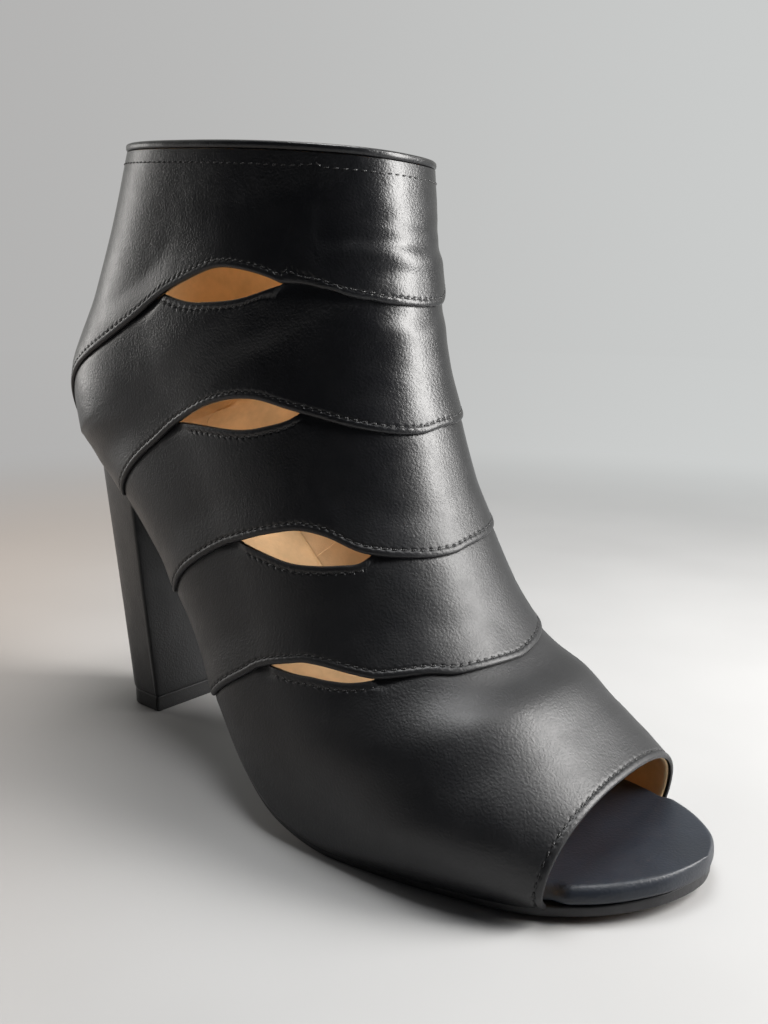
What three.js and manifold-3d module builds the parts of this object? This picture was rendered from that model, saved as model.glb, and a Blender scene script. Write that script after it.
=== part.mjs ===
// Peep toe ankle boot with a high block heel, the right boot of a pair.
// The last's frame has x from the back of the seat to the toe, y to the inner side and z up, in mm.
// The upper is one hollow leather shell of five overlapping panels, open at the collar, at the toe,
// under the foot and at eight slits. Everything below and around it follows the same last.
import * as THREE from "three";
import { mergeVertices } from "three/addons/utils/BufferGeometryUtils.js";
import Module from "manifold-3d";

const wasm = await Module();
wasm.setup();

const { lerp, clamp, smoothstep, degToRad } = THREE.MathUtils;

// Overall sizes
const SHOE_LENGTH = 221;        // back of the seat to the tip of the footbed
const BALL_WIDTH = 82;          // widest part of the sole
const SEAT_WIDTH = 51;          // widest part of the heel seat
const SHAFT_WIDTH = 64;         // collar, outside
const COLLAR_HEIGHT = 187;      // floor to the upper's top edge at the back
const SEAT_HEIGHT = 93.3;       // floor to the upper's lower edge at the back
const TOE_SPRING = 3.2;         // rise of the sole from the ball to the tip

// Leather and sole
const WALL = 2.2;               // upper with its lining
const LAP = 0.9;                // how far a panel's lower edge stands over the next panel
const OUTSOLE_THICKNESS = 2.4;
const FOOTBED_THICKNESS = 4.8;
const GAP = 0.35;               // clearance between pieces that touch
const CROWN = 2.35;             // how square the front of a section is, 2 is an ellipse
const SOLE_INSET = 0.9;         // outsole stands this far inside the upper's outline
const BINDING_WIDTH = 3.0;
const BINDING_HEIGHT = 2.4;
const FOOTBED_ROUND = 1.6;      // radius of the footbed's upper edge
const OUTSOLE_ROUND = 0.3;
const TIP_HALF = 0.6;           // half width at which a plate's ends are cut square

// Slits
const SLIT_HEIGHT = 10;         // widest opening of a full slit

// Heel
const BREAST_AT_TOP = 34.5;       // front face of the heel, from the back of the seat
const BREAST_AT_FLOOR = 32;
const HEEL_INSET = 2.2;         // heel's top stands this far inside the upper's outline
const HEEL_TOP_GAP = 0.55;      // clearance between the heel's top and the upper
const HEEL_FOOT_DEPTH = 20.5;
const HEEL_FOOT_WIDTH = 28;
const HEEL_FOOT_SHIFT = -1.5;   // to the inner side
const LIFT_THICKNESS = 5.5;
const LIFT_INSET = 0.2;
const HEEL_CORNER = 0.48;       // share of the foot's depth taken by its round back
const HEEL_TAPER = 1.1;         // 1 is a straight taper, more narrows the heel sooner below the seat

// Zip at the back seam
const ZIP_TOP_DROP = 3;         // below the collar
const ZIP_LENGTH = 72;
const ZIP_WIDTH = 6.4;
const ZIP_THICKNESS = 1.6;
const ZIP_TEETH_WIDTH = 3.6;    // raised middle of the strip
const SLIDER_DROP = 6.5;        // middle of the slider below the top of the zip
const SLIDER_LENGTH = 9.5;
const SLIDER_WIDTH = 7.4;
const SLIDER_THICKNESS = 2.4;
const LUG_WIDTH = 1.1;
const LUG_LENGTH = 3.6;
const PIN_DIAMETER = 1.2;
const PIN_RISE = 1.9;           // pin's axis over the slider's face
const TAB_LENGTH = 19;
const TAB_WIDTH = 4.6;
const TAB_THICKNESS = 1.2;
const EYE_WIDTH = 2.4;
const EYE_WALL = 0.75;
const TAB_TILT = 9;             // degrees from the zip's line to the tab lying on it

// Grid of the upper, in cells
const FRONT_CELLS = 4;
const SLIT_CELLS = 8;
const REAR_CELLS = 5;
const BACK_CELLS = 7;
const SEAT_CELLS = 4;
const BAND_CELLS = 4;
const VAMP_CELLS = 9;

// Grid of the other pieces
const PLATE_STEP = 0.35;        // stations between a plate's rings
const PLATE_CELLS = 4;
const HEEL_SIDE_CELLS = 4;
const HEEL_BACK_CELLS = 12;
const HEEL_LEVELS = 8;
const BINDING_SIDES = 8;
const ZIP_CELLS = 14;

const leather = new THREE.MeshStandardMaterial({ color: 0x17181c, roughness: 0.42, metalness: 0 });
const cover = new THREE.MeshStandardMaterial({ color: 0x1a1b20, roughness: 0.5, metalness: 0 });
const sole = new THREE.MeshStandardMaterial({ color: 0x2a211c, roughness: 0.7, metalness: 0 });
const rubber = new THREE.MeshStandardMaterial({ color: 0x121212, roughness: 0.8, metalness: 0 });
const tape = new THREE.MeshStandardMaterial({ color: 0x141416, roughness: 0.8, metalness: 0 });
const nickel = new THREE.MeshStandardMaterial({ color: 0xb9b6ae, roughness: 0.28, metalness: 1 });

function table(names, rows) {
  const columns = { size: rows.length };
  names.forEach((name, i) => { columns[name] = rows.map((row) => row[i]); });
  return columns;
}

// Stations of the sole's outline from the back of the seat to the tip: along is a share of the shoe's
// length, ball and seat are shares of those widths, centre is a share of the ball width, outer and
// inner are the lower edge's heights as shares of the seat's, and spring is a share of the toe spring.
const OUTLINE = table(["along", "ball", "seat", "centre", "outer", "inner", "spring"], [
  [0.000, 0.00, 0.00, 0.000, 1.000, 1.000, 0.00],
  [0.010, 0.00, 0.44, 0.000, 0.996, 0.996, 0.00],
  [0.038, 0.00, 0.76, 0.000, 0.979, 0.985, 0.00],
  [0.083, 0.00, 0.93, -0.002, 0.940, 0.960, 0.00],
  [0.158, 0.00, 1.01, -0.012, 0.851, 0.889, 0.00],
  [0.240, 0.12, 0.82, -0.035, 0.690, 0.762, 0.00],
  [0.317, 0.42, 0.37, -0.057, 0.508, 0.602, 0.00],
  [0.416, 0.74, 0.07, -0.078, 0.290, 0.331, 0.00],
  [0.489, 0.910, 0.0, -0.076, 0.147, 0.171, 0.00],
  [0.561, 1.005, 0.0, -0.054, 0.044, 0.055, 0.00],
  [0.640, 1.025, 0.0, -0.028, 0.000, 0.000, 0.00],
  [0.715, 1.000, 0.0, -0.010, 0.000, 0.000, 0.00],
  [0.796, 0.925, 0.0, 0.000, 0.000, 0.000, 0.08],
  [0.869, 0.825, 0.0, 0.004, 0.000, 0.000, 0.32],
  [0.932, 0.640, 0.0, 0.018, 0.000, 0.000, 0.62],
  [0.974, 0.410, 0.0, 0.036, 0.000, 0.000, 0.84],
  [0.993, 0.210, 0.0, 0.048, 0.000, 0.000, 0.95],
  [1.000, 0.00, 0.00, 0.053, 0.000, 0.000, 1.00],
]);

// Sections of the upper from the collar to the toe opening. Each runs from the back seam or the lower
// edge to the front line. back is the height of the back point between seat and collar, set the share
// of the shoe's length it stands forward of the seat, station the outline's station below the seam,
// ahead and up place the front point, shaft and ball give the half width as shares of those widths,
// skew moves width to the outer side, lean moves the section to the inner side as a share of the
// shaft's width, widest is where along the section, and full how square its rear part is.
const SECTIONS = table(
  ["back", "set", "station", "ahead", "up", "shaft", "ball", "skew", "lean", "widest", "full"], [
  [1.0, 0.088, 0.0, 0.561, 0.9485, 1.05, 0.0, -0.048, 0.11, 0.47, 2.58],
  [0.77, 0.056, 0.0, 0.565, 0.916, 1.06, 0.0, -0.048, 0.11, 0.47, 2.58],
  [0.51, 0.014, 0.0, 0.57, 0.891, 1.08, 0.0, -0.048, 0.1, 0.47, 2.58],
  [0.236, -0.033, 0.0, 0.575, 0.865, 1.123, 0.0, -0.038, 0.09, 0.46, 2.68],
  [0.0, 0.0, 0.0, 0.58, 0.838, 1.144, 0.0, -0.038, 0.08, 0.45, 2.88],
  [0.0, 0.0, 1.4, 0.585, 0.81, 1.123, 0.0, -0.024, 0.08, 0.44, 2.88],
  [0.0, 0.0, 2.9, 0.588, 0.766, 1.081, 0.0, 0.0, 0.08, 0.43, 2.4],
  [0.0, 0.0, 4.2, 0.625, 0.586, 0.81, 0.2, 0.03, 0.065, 0.42, 2.4],
  [0.0, 0.0, 6.0, 0.679, 0.414, 0.37, 0.61, 0.035, 0.045, 0.4, 2.3],
  [0.0, 0.0, 7.0, 0.761, 0.261, 0.081, 0.964, 0.025, 0.025, 0.36, 2.3],
  [0.0, 0.0, 8.4, 0.818, 0.229, 0.0, 1.1, 0.031, 0.015, 0.33, 2.2],
  [0.0, 0.0, 9.9, 0.854, 0.192, 0.0, 1.106, 0.025, 0.01, 0.3, 2.2],
  [0.0, 0.0, 11.6, 0.881, 0.165, 0.0, 1.03, 0.01, 0.0, 0.27, 2.1],
  [0.0, 0.0, 13.35, 0.909, 0.142, 0.0, 0.83, 0.0, 0.0, 0.22, 2.0],
]);
const SEAT_ROW = 4;             // the section that ends at the back of the seat
const TOE_ROW = 13;

// Seams between the panels, as section numbers at even steps round each side from the front line to
// the lower edge. The slit of a seam opens from its front to its rear, as shares of the way round, and
// its height is a share of the slit height.
const SEAMS = {
  outer: [
    {
      rows: [6.18, 6.15, 6.06, 5.8, 4, 3.02, 2.68, 2.71, 2.9, 3.02, 3.08, 3.15, 3.32, 3.7, 4.4, 5.2],
      front: 0.264, rear: 0.478, height: 0.93,
    },
    {
      rows: [7.07, 7.1, 7.08, 7.02, 6.93, 6.81, 6.67, 6.49, 6.37, 6.32, 6.34, 6.42, 6.5, 6.61, 6.74, 6.88],
      front: 0.374, rear: 0.654, height: 0.95,
    },
    {
      rows: [8.03, 8.06, 8.05, 8.01, 7.95, 7.86, 7.7, 7.6, 7.57, 7.56, 7.56, 7.58, 7.62, 7.67, 7.74, 7.82],
      front: 0.302, rear: 0.645, height: 1,
    },
    {
      rows: [9, 8.97, 8.95, 8.93, 8.86, 8.84, 8.82, 8.74, 8.65, 8.6, 8.6, 8.62, 8.7, 8.78, 8.87, 8.97],
      front: 0.41, rear: 0.704, height: 0.42,
    },
  ],
  inner: [
    {
      rows: [6.18, 6.15, 6.0, 5.2, 3.4, 2.78, 2.52, 2.68, 3.05, 3.3, 3.6, 4.05, 4.6, 5.1, 5.6, 6.1],
      front: 0.24, rear: 0.489, height: 0.96,
    },
    {
      rows: [7.07, 7.05, 7.01, 6.94, 6.85, 6.72, 6.56, 6.42, 6.35, 6.34, 6.42, 6.57, 6.72, 6.87, 7, 7.13],
      front: 0.333, rear: 0.635, height: 1,
    },
    {
      rows: [8.03, 8, 7.96, 7.91, 7.84, 7.7, 7.6, 7.56, 7.59, 7.66, 7.74, 7.83, 7.91, 7.99, 8.07, 8.14],
      front: 0.282, rear: 0.587, height: 1.03,
    },
    {
      rows: [9, 8.94, 8.88, 8.84, 8.78, 8.68, 8.63, 8.6, 8.63, 8.68, 8.74, 8.81, 8.88, 8.94, 9, 9.06],
      front: 0.241, rear: 0.549, height: 0.89,
    },
  ],
};

// Smooth curve through evenly spaced values that never overshoots them: a cubic between each pair,
// with slopes limited by the steps on both sides. before and after stand in for the values past the
// ends, which are otherwise carried on straight.
function along(values, t, { from = 0, to = values.length - 1, before, after } = {}) {
  const x = Math.min(Math.max(t, from), to);
  const i = Math.min(Math.floor(x), to - 1);
  const f = x - i;
  const step = values[i + 1] - values[i];
  const first = before === undefined ? values[from] - step : before;
  const past = after === undefined ? values[to] + step : after;
  const last = values[i] - (i > from ? values[i - 1] : first);
  const next = (i < to - 1 ? values[i + 2] : past) - values[i + 1];
  const slope = (p, q) => {
    const sense = Math.sign(p) + Math.sign(q);
    return sense * Math.min(Math.abs(p), Math.abs(q), Math.abs(p + q) / 4);
  };
  const a = slope(last, step);
  const b = slope(step, next);
  return values[i] + f * a + f * f * (3 * step - 2 * a - b) + f ** 3 * (a + b - 2 * step);
}

const HALF_WIDTHS = OUTLINE.ball.map((ball, i) => (ball * BALL_WIDTH + OUTLINE.seat[i] * SEAT_WIDTH) / 2);
const LAST_STATION = OUTLINE.size - 1;
const SOLE_TOP = OUTSOLE_THICKNESS + GAP;

// The sole's outline at a station: x, half width, centre line, and the lower edge's height each side.
// Mirrored values past both ends make the outline round there.
function outlineAt(station) {
  const { along: x, centre, outer, inner, spring } = OUTLINE;
  const mirrored = { before: -HALF_WIDTHS[1], after: -HALF_WIDTHS[LAST_STATION - 1] };
  const half = along(HALF_WIDTHS, station, mirrored);
  const lift = SOLE_TOP + TOE_SPRING * Math.max(along(spring, station), 0);
  const rise = SEAT_HEIGHT - SOLE_TOP;
  return {
    x: SHOE_LENGTH * along(x, station, { before: x[1], after: x[LAST_STATION - 1] }),
    half: Math.max(half, 0),
    centre: BALL_WIDTH * along(centre, station),
    outer: lift + rise * Math.max(along(outer, station), 0),
    inner: lift + rise * Math.max(along(inner, station), 0),
  };
}

// Station of the outline at x, by halving.
function stationAt(x) {
  let low = 0;
  let high = LAST_STATION;
  for (let i = 0; i < 40; i += 1) {
    const middle = (low + high) / 2;
    if (outlineAt(middle).x < x) low = middle;
    else high = middle;
  }
  return (low + high) / 2;
}

// Height of the upper's lower edge above a point of the plan, level across between the two sides.
function edgeHeight(x, y) {
  const o = outlineAt(stationAt(x));
  const share = o.half > 0.01 ? clamp((y - o.centre) / o.half, -1, 1) : 0;
  return lerp(o.outer, o.inner, (share + 1) / 2);
}

// Section number u on one side: its back or lower point, its front point, half width and fullness.
function sectionAt(u, side) {
  const closed = u <= SEAT_ROW;
  const station = closed ? 0 : along(SECTIONS.station, u, { from: SEAT_ROW });
  const o = outlineAt(station);
  const backLine = { to: SEAT_ROW };
  const half = (along(SECTIONS.shaft, u) * SHAFT_WIDTH + along(SECTIONS.ball, u) * BALL_WIDTH) / 2;
  const width = half * (1 - side * along(SECTIONS.skew, u));
  const base = closed ? 0 : o.half + side * o.centre;
  return {
    backX: closed ? SHOE_LENGTH * along(SECTIONS.set, u, backLine) : o.x,
    backZ: closed
      ? lerp(SEAT_HEIGHT, COLLAR_HEIGHT, along(SECTIONS.back, u, backLine))
      : side > 0 ? o.inner : o.outer,
    frontX: SHOE_LENGTH * along(SECTIONS.ahead, u),
    frontZ: COLLAR_HEIGHT * along(SECTIONS.up, u),
    width,
    base: Math.min(base, width * 0.998),
    widest: along(SECTIONS.widest, u),
    full: along(SECTIONS.full, u),
    lean: SHAFT_WIDTH * along(SECTIONS.lean, u),
    rooted: closed ? along(SECTIONS.back, u, backLine) : 0,
  };
}

// Point of the last's outside at section u, v of the way round one side (side -1 outer, 1 inner) from
// the front line to the lower edge or the back seam. A section's front and rear parts are quarter
// superellipses, and the rear one stops where it is as wide as the sole below it.
function surface(u, v, side) {
  const s = sectionAt(u, side);
  const reach = (1 - (s.base / s.width) ** s.full) ** (1 / s.full);
  const angle = v * (Math.PI / 2 + Math.asin(Math.min(reach, 1)));
  const c = Math.cos(angle);
  const share = c >= 0 ? s.widest + (1 - s.widest) * c : s.widest * (1 + c / reach);
  const full = c >= 0 ? CROWN : s.full;
  const w = s.width * Math.max(1 - Math.abs(c) ** full, 0) ** (1 / full);
  // The lean grows from the lower edge to the section's widest point.
  const sway = s.lean * lerp(smoothstep(share, 0, s.widest), 1, s.rooted);
  return new THREE.Vector3(
    s.backX + (s.frontX - s.backX) * share,
    sway + side * w,
    s.backZ + (s.frontZ - s.backZ) * share,
  );
}

// Outward normal of the last. On the front line and at the back seam it stays in the middle plane.
function surfaceNormal(u, v, side) {
  const step = 0.01;
  const atBack = v === 1 && u <= SEAT_ROW + 1e-6;
  const u0 = Math.max(u - step, 0);
  const u1 = Math.min(u + step, atBack ? SEAT_ROW : TOE_ROW);
  const down = surface(u1, v, side).sub(surface(u0, v, side));
  if (v === 0) return new THREE.Vector3(-down.z, 0, down.x).normalize();
  if (atBack) return new THREE.Vector3(down.z, 0, -down.x).normalize();
  const v0 = Math.max(v - step, 0.001);
  const v1 = Math.min(v + step, 0.999);
  const round = surface(u, v1, side).sub(surface(u, v0, side));
  return down.cross(round).multiplyScalar(side).normalize();
}

// A closed mesh from its vertices and triangles.
function solid(name, positions, triangles, material) {
  const geometry = new THREE.BufferGeometry();
  geometry.setAttribute("position", new THREE.Float32BufferAttribute(positions.flat(), 3));
  geometry.setIndex(triangles.flat());
  geometry.computeVertexNormals();
  const mesh = new THREE.Mesh(geometry, material);
  mesh.name = name;
  return mesh;
}

// Vertices that lie on one another get one number.
class Points {
  constructor() {
    this.list = [];
    this.numbers = new Map();
  }

  add(p) {
    const key = [p.x, p.y, p.z].map((value) => Math.round(value * 1e4)).join();
    if (!this.numbers.has(key)) {
      this.numbers.set(key, this.list.length);
      this.list.push([p.x, p.y, p.z]);
    }
    return this.numbers.get(key);
  }
}

// The way round of each column of the upper at a seam: front part, slit, rear part.
function seamColumns({ front, rear }) {
  const columns = [];
  for (let i = 0; i < FRONT_CELLS; i += 1) columns.push((front * i) / FRONT_CELLS);
  for (let i = 0; i < SLIT_CELLS; i += 1) columns.push(lerp(front, rear, i / SLIT_CELLS));
  for (let i = 0; i <= REAR_CELLS; i += 1) columns.push(lerp(rear, 1, i / REAR_CELLS));
  return columns;
}

function seamsOf(side) {
  return SEAMS[side < 0 ? "outer" : "inner"];
}

// Skin of the upper: rows of outer points from the collar to the toe, and the inner point below each.
function upperRows(side) {
  const seams = seamsOf(side);
  const seamRow = (k, v) => along(seams[k].rows, v * (seams[k].rows.length - 1));
  const columns = seams.map(seamColumns);
  const slitShare = (j) => clamp((j - FRONT_CELLS) / SLIT_CELLS, 0, 1);
  // How far, in section numbers, a slit's lower edge lies below its seam at column j.
  const slitDrop = (k, j) => {
    const share = slitShare(j);
    if (share <= 0 || share >= 1) return 0;
    const v = columns[k][j];
    const u = seamRow(k, v);
    const pace = surface(u + 0.2, v, side).distanceTo(surface(u, v, side)) / 0.2;
    return ((SLIT_HEIGHT * seams[k].height) / pace) * Math.sin(Math.PI * share);
  };
  const rows = [];
  const columnCount = FRONT_CELLS + SLIT_CELLS + REAR_CELLS + 1;
  const addRow = (panel, lap, shareAt, atSeam) => {
    const above = panel - 1;
    const outer = [];
    const inner = [];
    for (let j = 0; j < columnCount; j += 1) {
      const topV = columns[Math.max(above, 0)][j];
      const bottomV = columns[Math.min(panel, 3)][j];
      const top = panel === 0 ? 0 : seamRow(above, topV) + slitDrop(above, j);
      const bottom = panel === 4 ? TOE_ROW : seamRow(panel, bottomV);
      const share = shareAt(topV);
      const u = lerp(top, bottom, share);
      const v = lerp(topV, bottomV, share);
      const p = surface(u, v, side);
      const n = surfaceNormal(u, v, side);
      outer.push(p.clone().addScaledVector(n, lap));
      // The rim of the collar is cut level, and at the lower edge the wall's inside stays on the
      // sole's surface.
      const atSole = v === 1 && u > SEAT_ROW + 1e-6;
      const level = new THREE.Vector3(n.x, n.y, 0).normalize();
      const q = p.clone().addScaledVector(u === 0 || atSole ? level : n, -WALL);
      if (atSole) q.z = edgeHeight(q.x, q.y);
      inner.push(q);
    }
    rows.push({ outer, inner, seam: atSeam ? panel : -1 });
  };
  // The collar panel's rows end evenly spaced on the front line; at the rear one of them meets the
  // back of the seat, where the back seam ends.
  const seatShare = SEAT_ROW / seamRow(0, 1);
  for (let i = 0; i <= BACK_CELLS + SEAT_CELLS; i += 1) {
    const front = i / (BACK_CELLS + SEAT_CELLS);
    const rear = i <= BACK_CELLS
      ? (seatShare * i) / BACK_CELLS
      : lerp(seatShare, 1, (i - BACK_CELLS) / SEAT_CELLS);
    addRow(0, LAP * front, (v) => lerp(front, rear, v), i === BACK_CELLS + SEAT_CELLS);
  }
  for (let panel = 1; panel <= 4; panel += 1) {
    const cells = panel === 4 ? VAMP_CELLS : BAND_CELLS;
    for (let i = 0; i <= cells; i += 1) {
      const share = i / cells;
      addRow(panel, panel < 4 ? LAP * share : 0, () => share, i === cells && panel < 4);
    }
  }
  return rows;
}

// The upper: both sides' skins, the inside, and a wall along every open edge between them. Below a
// seam the next panel starts on the same inner points, so that the seam is a step in the wall, and
// the cells of a slit are left out.
function makeUpper() {
  const outerPoints = new Points();
  const innerPoints = new Points();
  const innerOf = new Map();
  const skin = [];
  const triangle = (a, b, c) => {
    if (a !== b && b !== c && c !== a) skin.push([a, b, c]);
  };
  for (const side of [-1, 1]) {
    const rows = upperRows(side).map(({ outer, inner, seam }) => ({
      seam,
      numbers: outer.map((p, j) => {
        const number = outerPoints.add(p);
        innerOf.set(number, innerPoints.add(inner[j]));
        return number;
      }),
    }));
    for (let r = 0; r + 1 < rows.length; r += 1) {
      const above = rows[r].numbers;
      const below = rows[r + 1].numbers;
      for (let j = 0; j + 1 < above.length; j += 1) {
        const inSlit = rows[r].seam >= 0 && j >= FRONT_CELLS && j < FRONT_CELLS + SLIT_CELLS;
        if (inSlit) continue;
        const quad = [above[j], above[j + 1], below[j + 1], below[j]];
        if (side > 0) quad.reverse();
        triangle(quad[0], quad[1], quad[2]);
        triangle(quad[0], quad[2], quad[3]);
      }
    }
  }
  const edges = new Set(skin.flatMap(([a, b, c]) => [`${a},${b}`, `${b},${c}`, `${c},${a}`]));
  const shift = outerPoints.list.length;
  const all = [...skin];
  const addTriangle = (a, b, c) => {
    if (a !== b && b !== c && c !== a) all.push([a, b, c]);
  };
  for (const [a, b, c] of skin) {
    addTriangle(innerOf.get(c) + shift, innerOf.get(b) + shift, innerOf.get(a) + shift);
    for (const [p, q] of [[a, b], [b, c], [c, a]]) {
      if (edges.has(`${q},${p}`)) continue;
      addTriangle(q, p, innerOf.get(p) + shift);
      addTriangle(q, innerOf.get(p) + shift, innerOf.get(q) + shift);
    }
  }
  return solid("upper", [...outerPoints.list, ...innerPoints.list], all, leather);
}

// A closed solid through rings of equal length, with flat ends.
function loft(name, rings, material) {
  const count = rings[0].length;
  const triangles = [];
  for (let r = 0; r + 1 < rings.length; r += 1) {
    for (let j = 0; j < count; j += 1) {
      const k = (j + 1) % count;
      const a = r * count + j;
      const b = r * count + k;
      triangles.push([a, b, b + count], [a, b + count, a + count]);
    }
  }
  const last = (rings.length - 1) * count;
  for (let j = 1; j + 1 < count; j += 1) {
    triangles.push([0, j + 1, j], [last, last + j, last + j + 1]);
  }
  return solid(name, rings.flat(), triangles, material);
}

// A closed solid through rings that also close on one another.
function ringLoft(name, rings, material) {
  const count = rings[0].length;
  const triangles = [];
  rings.forEach((ring, r) => {
    const next = ((r + 1) % rings.length) * count;
    for (let j = 0; j < count; j += 1) {
      const k = (j + 1) % count;
      triangles.push([r * count + j, r * count + k, next + k], [r * count + j, next + k, next + j]);
    }
  });
  return solid(name, rings.flat(), triangles, material);
}

// Outline of a plate under the foot at a station, inset square to the sole's outline.
function insetOutline(station, inset) {
  const o = outlineAt(station);
  const next = outlineAt(Math.min(station + 0.02, LAST_STATION));
  const previous = outlineAt(Math.max(station - 0.02, 0));
  const run = next.x - previous.x;
  const spread = next.half - previous.half;
  const length = Math.hypot(run, spread);
  const half = Math.max(o.half - (inset * run) / length, TIP_HALF);
  return { ...o, x: o.x + (inset * spread) / length, half };
}

// Cross section of such a plate. bottom and top are heights over the lower edge's line, and round is
// the radius taken off its upper corners.
function plateRing(station, { inset, bottom, top, round }) {
  const { x, half, centre } = insetOutline(station, inset);
  const ring = [];
  const point = (share, height, inward = 0) => {
    const y = centre + share * (half - inward);
    ring.push([x, y, Math.max(edgeHeight(x, y) + height, 0)]);
  };
  for (let i = 0; i <= PLATE_CELLS; i += 1) point(-1 + (2 * i) / PLATE_CELLS, bottom);
  const corner = Math.min(round, half * 0.5);
  point(1, top - corner);
  for (let i = 0; i <= PLATE_CELLS; i += 1) point(1 - (2 * i) / PLATE_CELLS, top, corner);
  point(-1, top - corner);
  return ring;
}

// Stations of the plates at even steps, counted from the back of the seat.
function plateStations(from, to) {
  const stations = [from];
  const first = Math.ceil(from / PLATE_STEP + 0.3);
  for (let i = first; (i + 0.3) * PLATE_STEP < to; i += 1) stations.push(i * PLATE_STEP);
  return [...stations, to];
}

function makeFootbed() {
  const opening = SECTIONS.station[TOE_ROW];
  const rings = plateStations(0.12, LAST_STATION - 0.2).map((station) => {
    const out = smoothstep(station, opening + 0.02, opening + 0.3);
    return plateRing(station, {
      inset: lerp(WALL + LAP + GAP, GAP, out),
      bottom: 0,
      top: FOOTBED_THICKNESS,
      round: FOOTBED_ROUND,
    });
  });
  return loft("footbed", rings, cover);
}

function makeOutsole() {
  const start = stationAt(BREAST_AT_TOP + GAP);
  const rings = plateStations(start, LAST_STATION - 0.2).map((station) => plateRing(station, {
    inset: SOLE_INSET,
    bottom: -SOLE_TOP,
    top: -GAP,
    round: OUTSOLE_ROUND,
  }));
  return loft("outsole", rings, sole);
}

// Outline of the heel's foot: straight breast, straight sides and a round back, from the outer front
// corner to the inner one.
function heelFoot(inset) {
  const back = BREAST_AT_FLOOR - HEEL_FOOT_DEPTH + inset;
  const front = BREAST_AT_FLOOR - inset;
  const half = HEEL_FOOT_WIDTH / 2 - inset;
  const curve = HEEL_FOOT_DEPTH * HEEL_CORNER;
  const sides = [];
  for (let i = 0; i < HEEL_SIDE_CELLS; i += 1) {
    sides.push(lerp(front, back + curve, i / HEEL_SIDE_CELLS));
  }
  const points = sides.map((x) => [x, -half]);
  for (let i = 0; i <= HEEL_BACK_CELLS; i += 1) {
    const angle = (Math.PI * i) / HEEL_BACK_CELLS;
    points.push([back + curve * (1 - Math.sin(angle)), -half * Math.cos(angle)]);
  }
  points.push(...sides.reverse().map((x) => [x, half]));
  return points.map(([x, y]) => [x, y + HEEL_FOOT_SHIFT]);
}

// Outline of the heel's seat at the same points: the sole's outline back of the breast. A share of its
// stations goes to the straight sides, and the rest to the round back.
function heelSeat() {
  const straight = 0.45;
  const front = stationAt(BREAST_AT_TOP);
  const half = HEEL_BACK_CELLS / 2;
  const shares = [];
  for (let i = 0; i < HEEL_SIDE_CELLS; i += 1) shares.push(1 - (straight * i) / HEEL_SIDE_CELLS);
  for (let i = 0; i <= half; i += 1) shares.push((1 - straight) * (1 - i / half));
  const onSide = (share, side) => {
    const o = outlineAt(front * share);
    const reach = Math.max(o.half - HEEL_INSET, 0);
    return [Math.max(o.x, HEEL_INSET), o.centre + side * reach];
  };
  const outer = shares.map((share) => onSide(share, -1));
  const inner = shares.slice(0, -1).map((share) => onSide(share, 1)).reverse();
  return [...outer, ...inner];
}

// The heel block narrows from the seat to its foot, and its top follows the seat.
function makeHeel() {
  const seat = heelSeat();
  const foot = heelFoot(0);
  const floor = LIFT_THICKNESS + GAP;
  const rings = [];
  for (let i = 0; i <= HEEL_LEVELS; i += 1) {
    const share = i / HEEL_LEVELS;
    const spread = 1 - (1 - share) ** HEEL_TAPER;
    const ring = seat.map(([x, y], j) => [
      lerp(foot[j][0], x, spread),
      lerp(foot[j][1], y, spread),
      lerp(floor, edgeHeight(x, y) - HEEL_TOP_GAP, share),
    ]);
    rings.push(ring.reverse());
  }
  return loft("heel_block", rings, cover);
}

function makeLift() {
  const outline = heelFoot(LIFT_INSET).reverse();
  const rings = [0, LIFT_THICKNESS].map((z) => outline.map(([x, y]) => [x, y, z]));
  return loft("heel_top_lift", rings, rubber);
}

// Binding round the collar: a rounded strip on the shell's top edge, with a ring at each of its columns.
function makeBinding() {
  const ringAt = (v, side) => {
    const n = surfaceNormal(0, v, side);
    const out = new THREE.Vector3(n.x, n.y, 0).normalize();
    const middle = surface(0, v, side).addScaledVector(out, -WALL / 2);
    middle.z += BINDING_HEIGHT / 2 + GAP;
    const ring = [];
    for (let i = 0; i < BINDING_SIDES; i += 1) {
      const angle = (2 * Math.PI * (i + 0.5)) / BINDING_SIDES;
      const q = middle.clone().addScaledVector(out, (BINDING_WIDTH / 2) * Math.cos(angle));
      ring.push([q.x, q.y, q.z + (BINDING_HEIGHT / 2) * Math.sin(angle)]);
    }
    return ring;
  };
  const outer = seamColumns(seamsOf(-1)[0]).slice(0, -1);
  const inner = seamColumns(seamsOf(1)[0]).slice(1).reverse();
  const rings = [...outer.map((v) => ringAt(v, -1)), ...inner.map((v) => ringAt(v, 1))];
  return ringLoft("collar_binding", rings, leather);
}

// Joins closed geometries into one solid.
function join(name, geometries, material) {
  const bodies = geometries.map((source) => {
    const geometry = source.index ? source.toNonIndexed() : source.clone();
    geometry.deleteAttribute("normal");
    geometry.deleteAttribute("uv");
    const merged = mergeVertices(geometry, 1e-4);
    return new wasm.Manifold(new wasm.Mesh({
      numProp: 3,
      vertProperties: new Float32Array(merged.attributes.position.array),
      triVerts: new Uint32Array(merged.index.array),
    }));
  });
  const result = bodies.reduce((sum, body) => sum.add(body)).getMesh();
  const geometry = new THREE.BufferGeometry();
  geometry.setAttribute("position", new THREE.BufferAttribute(new Float32Array(result.vertProperties), 3));
  geometry.setIndex(new THREE.BufferAttribute(new Uint32Array(result.triVerts), 1));
  geometry.computeVertexNormals();
  const mesh = new THREE.Mesh(geometry, material);
  mesh.name = name;
  return mesh;
}

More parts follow.
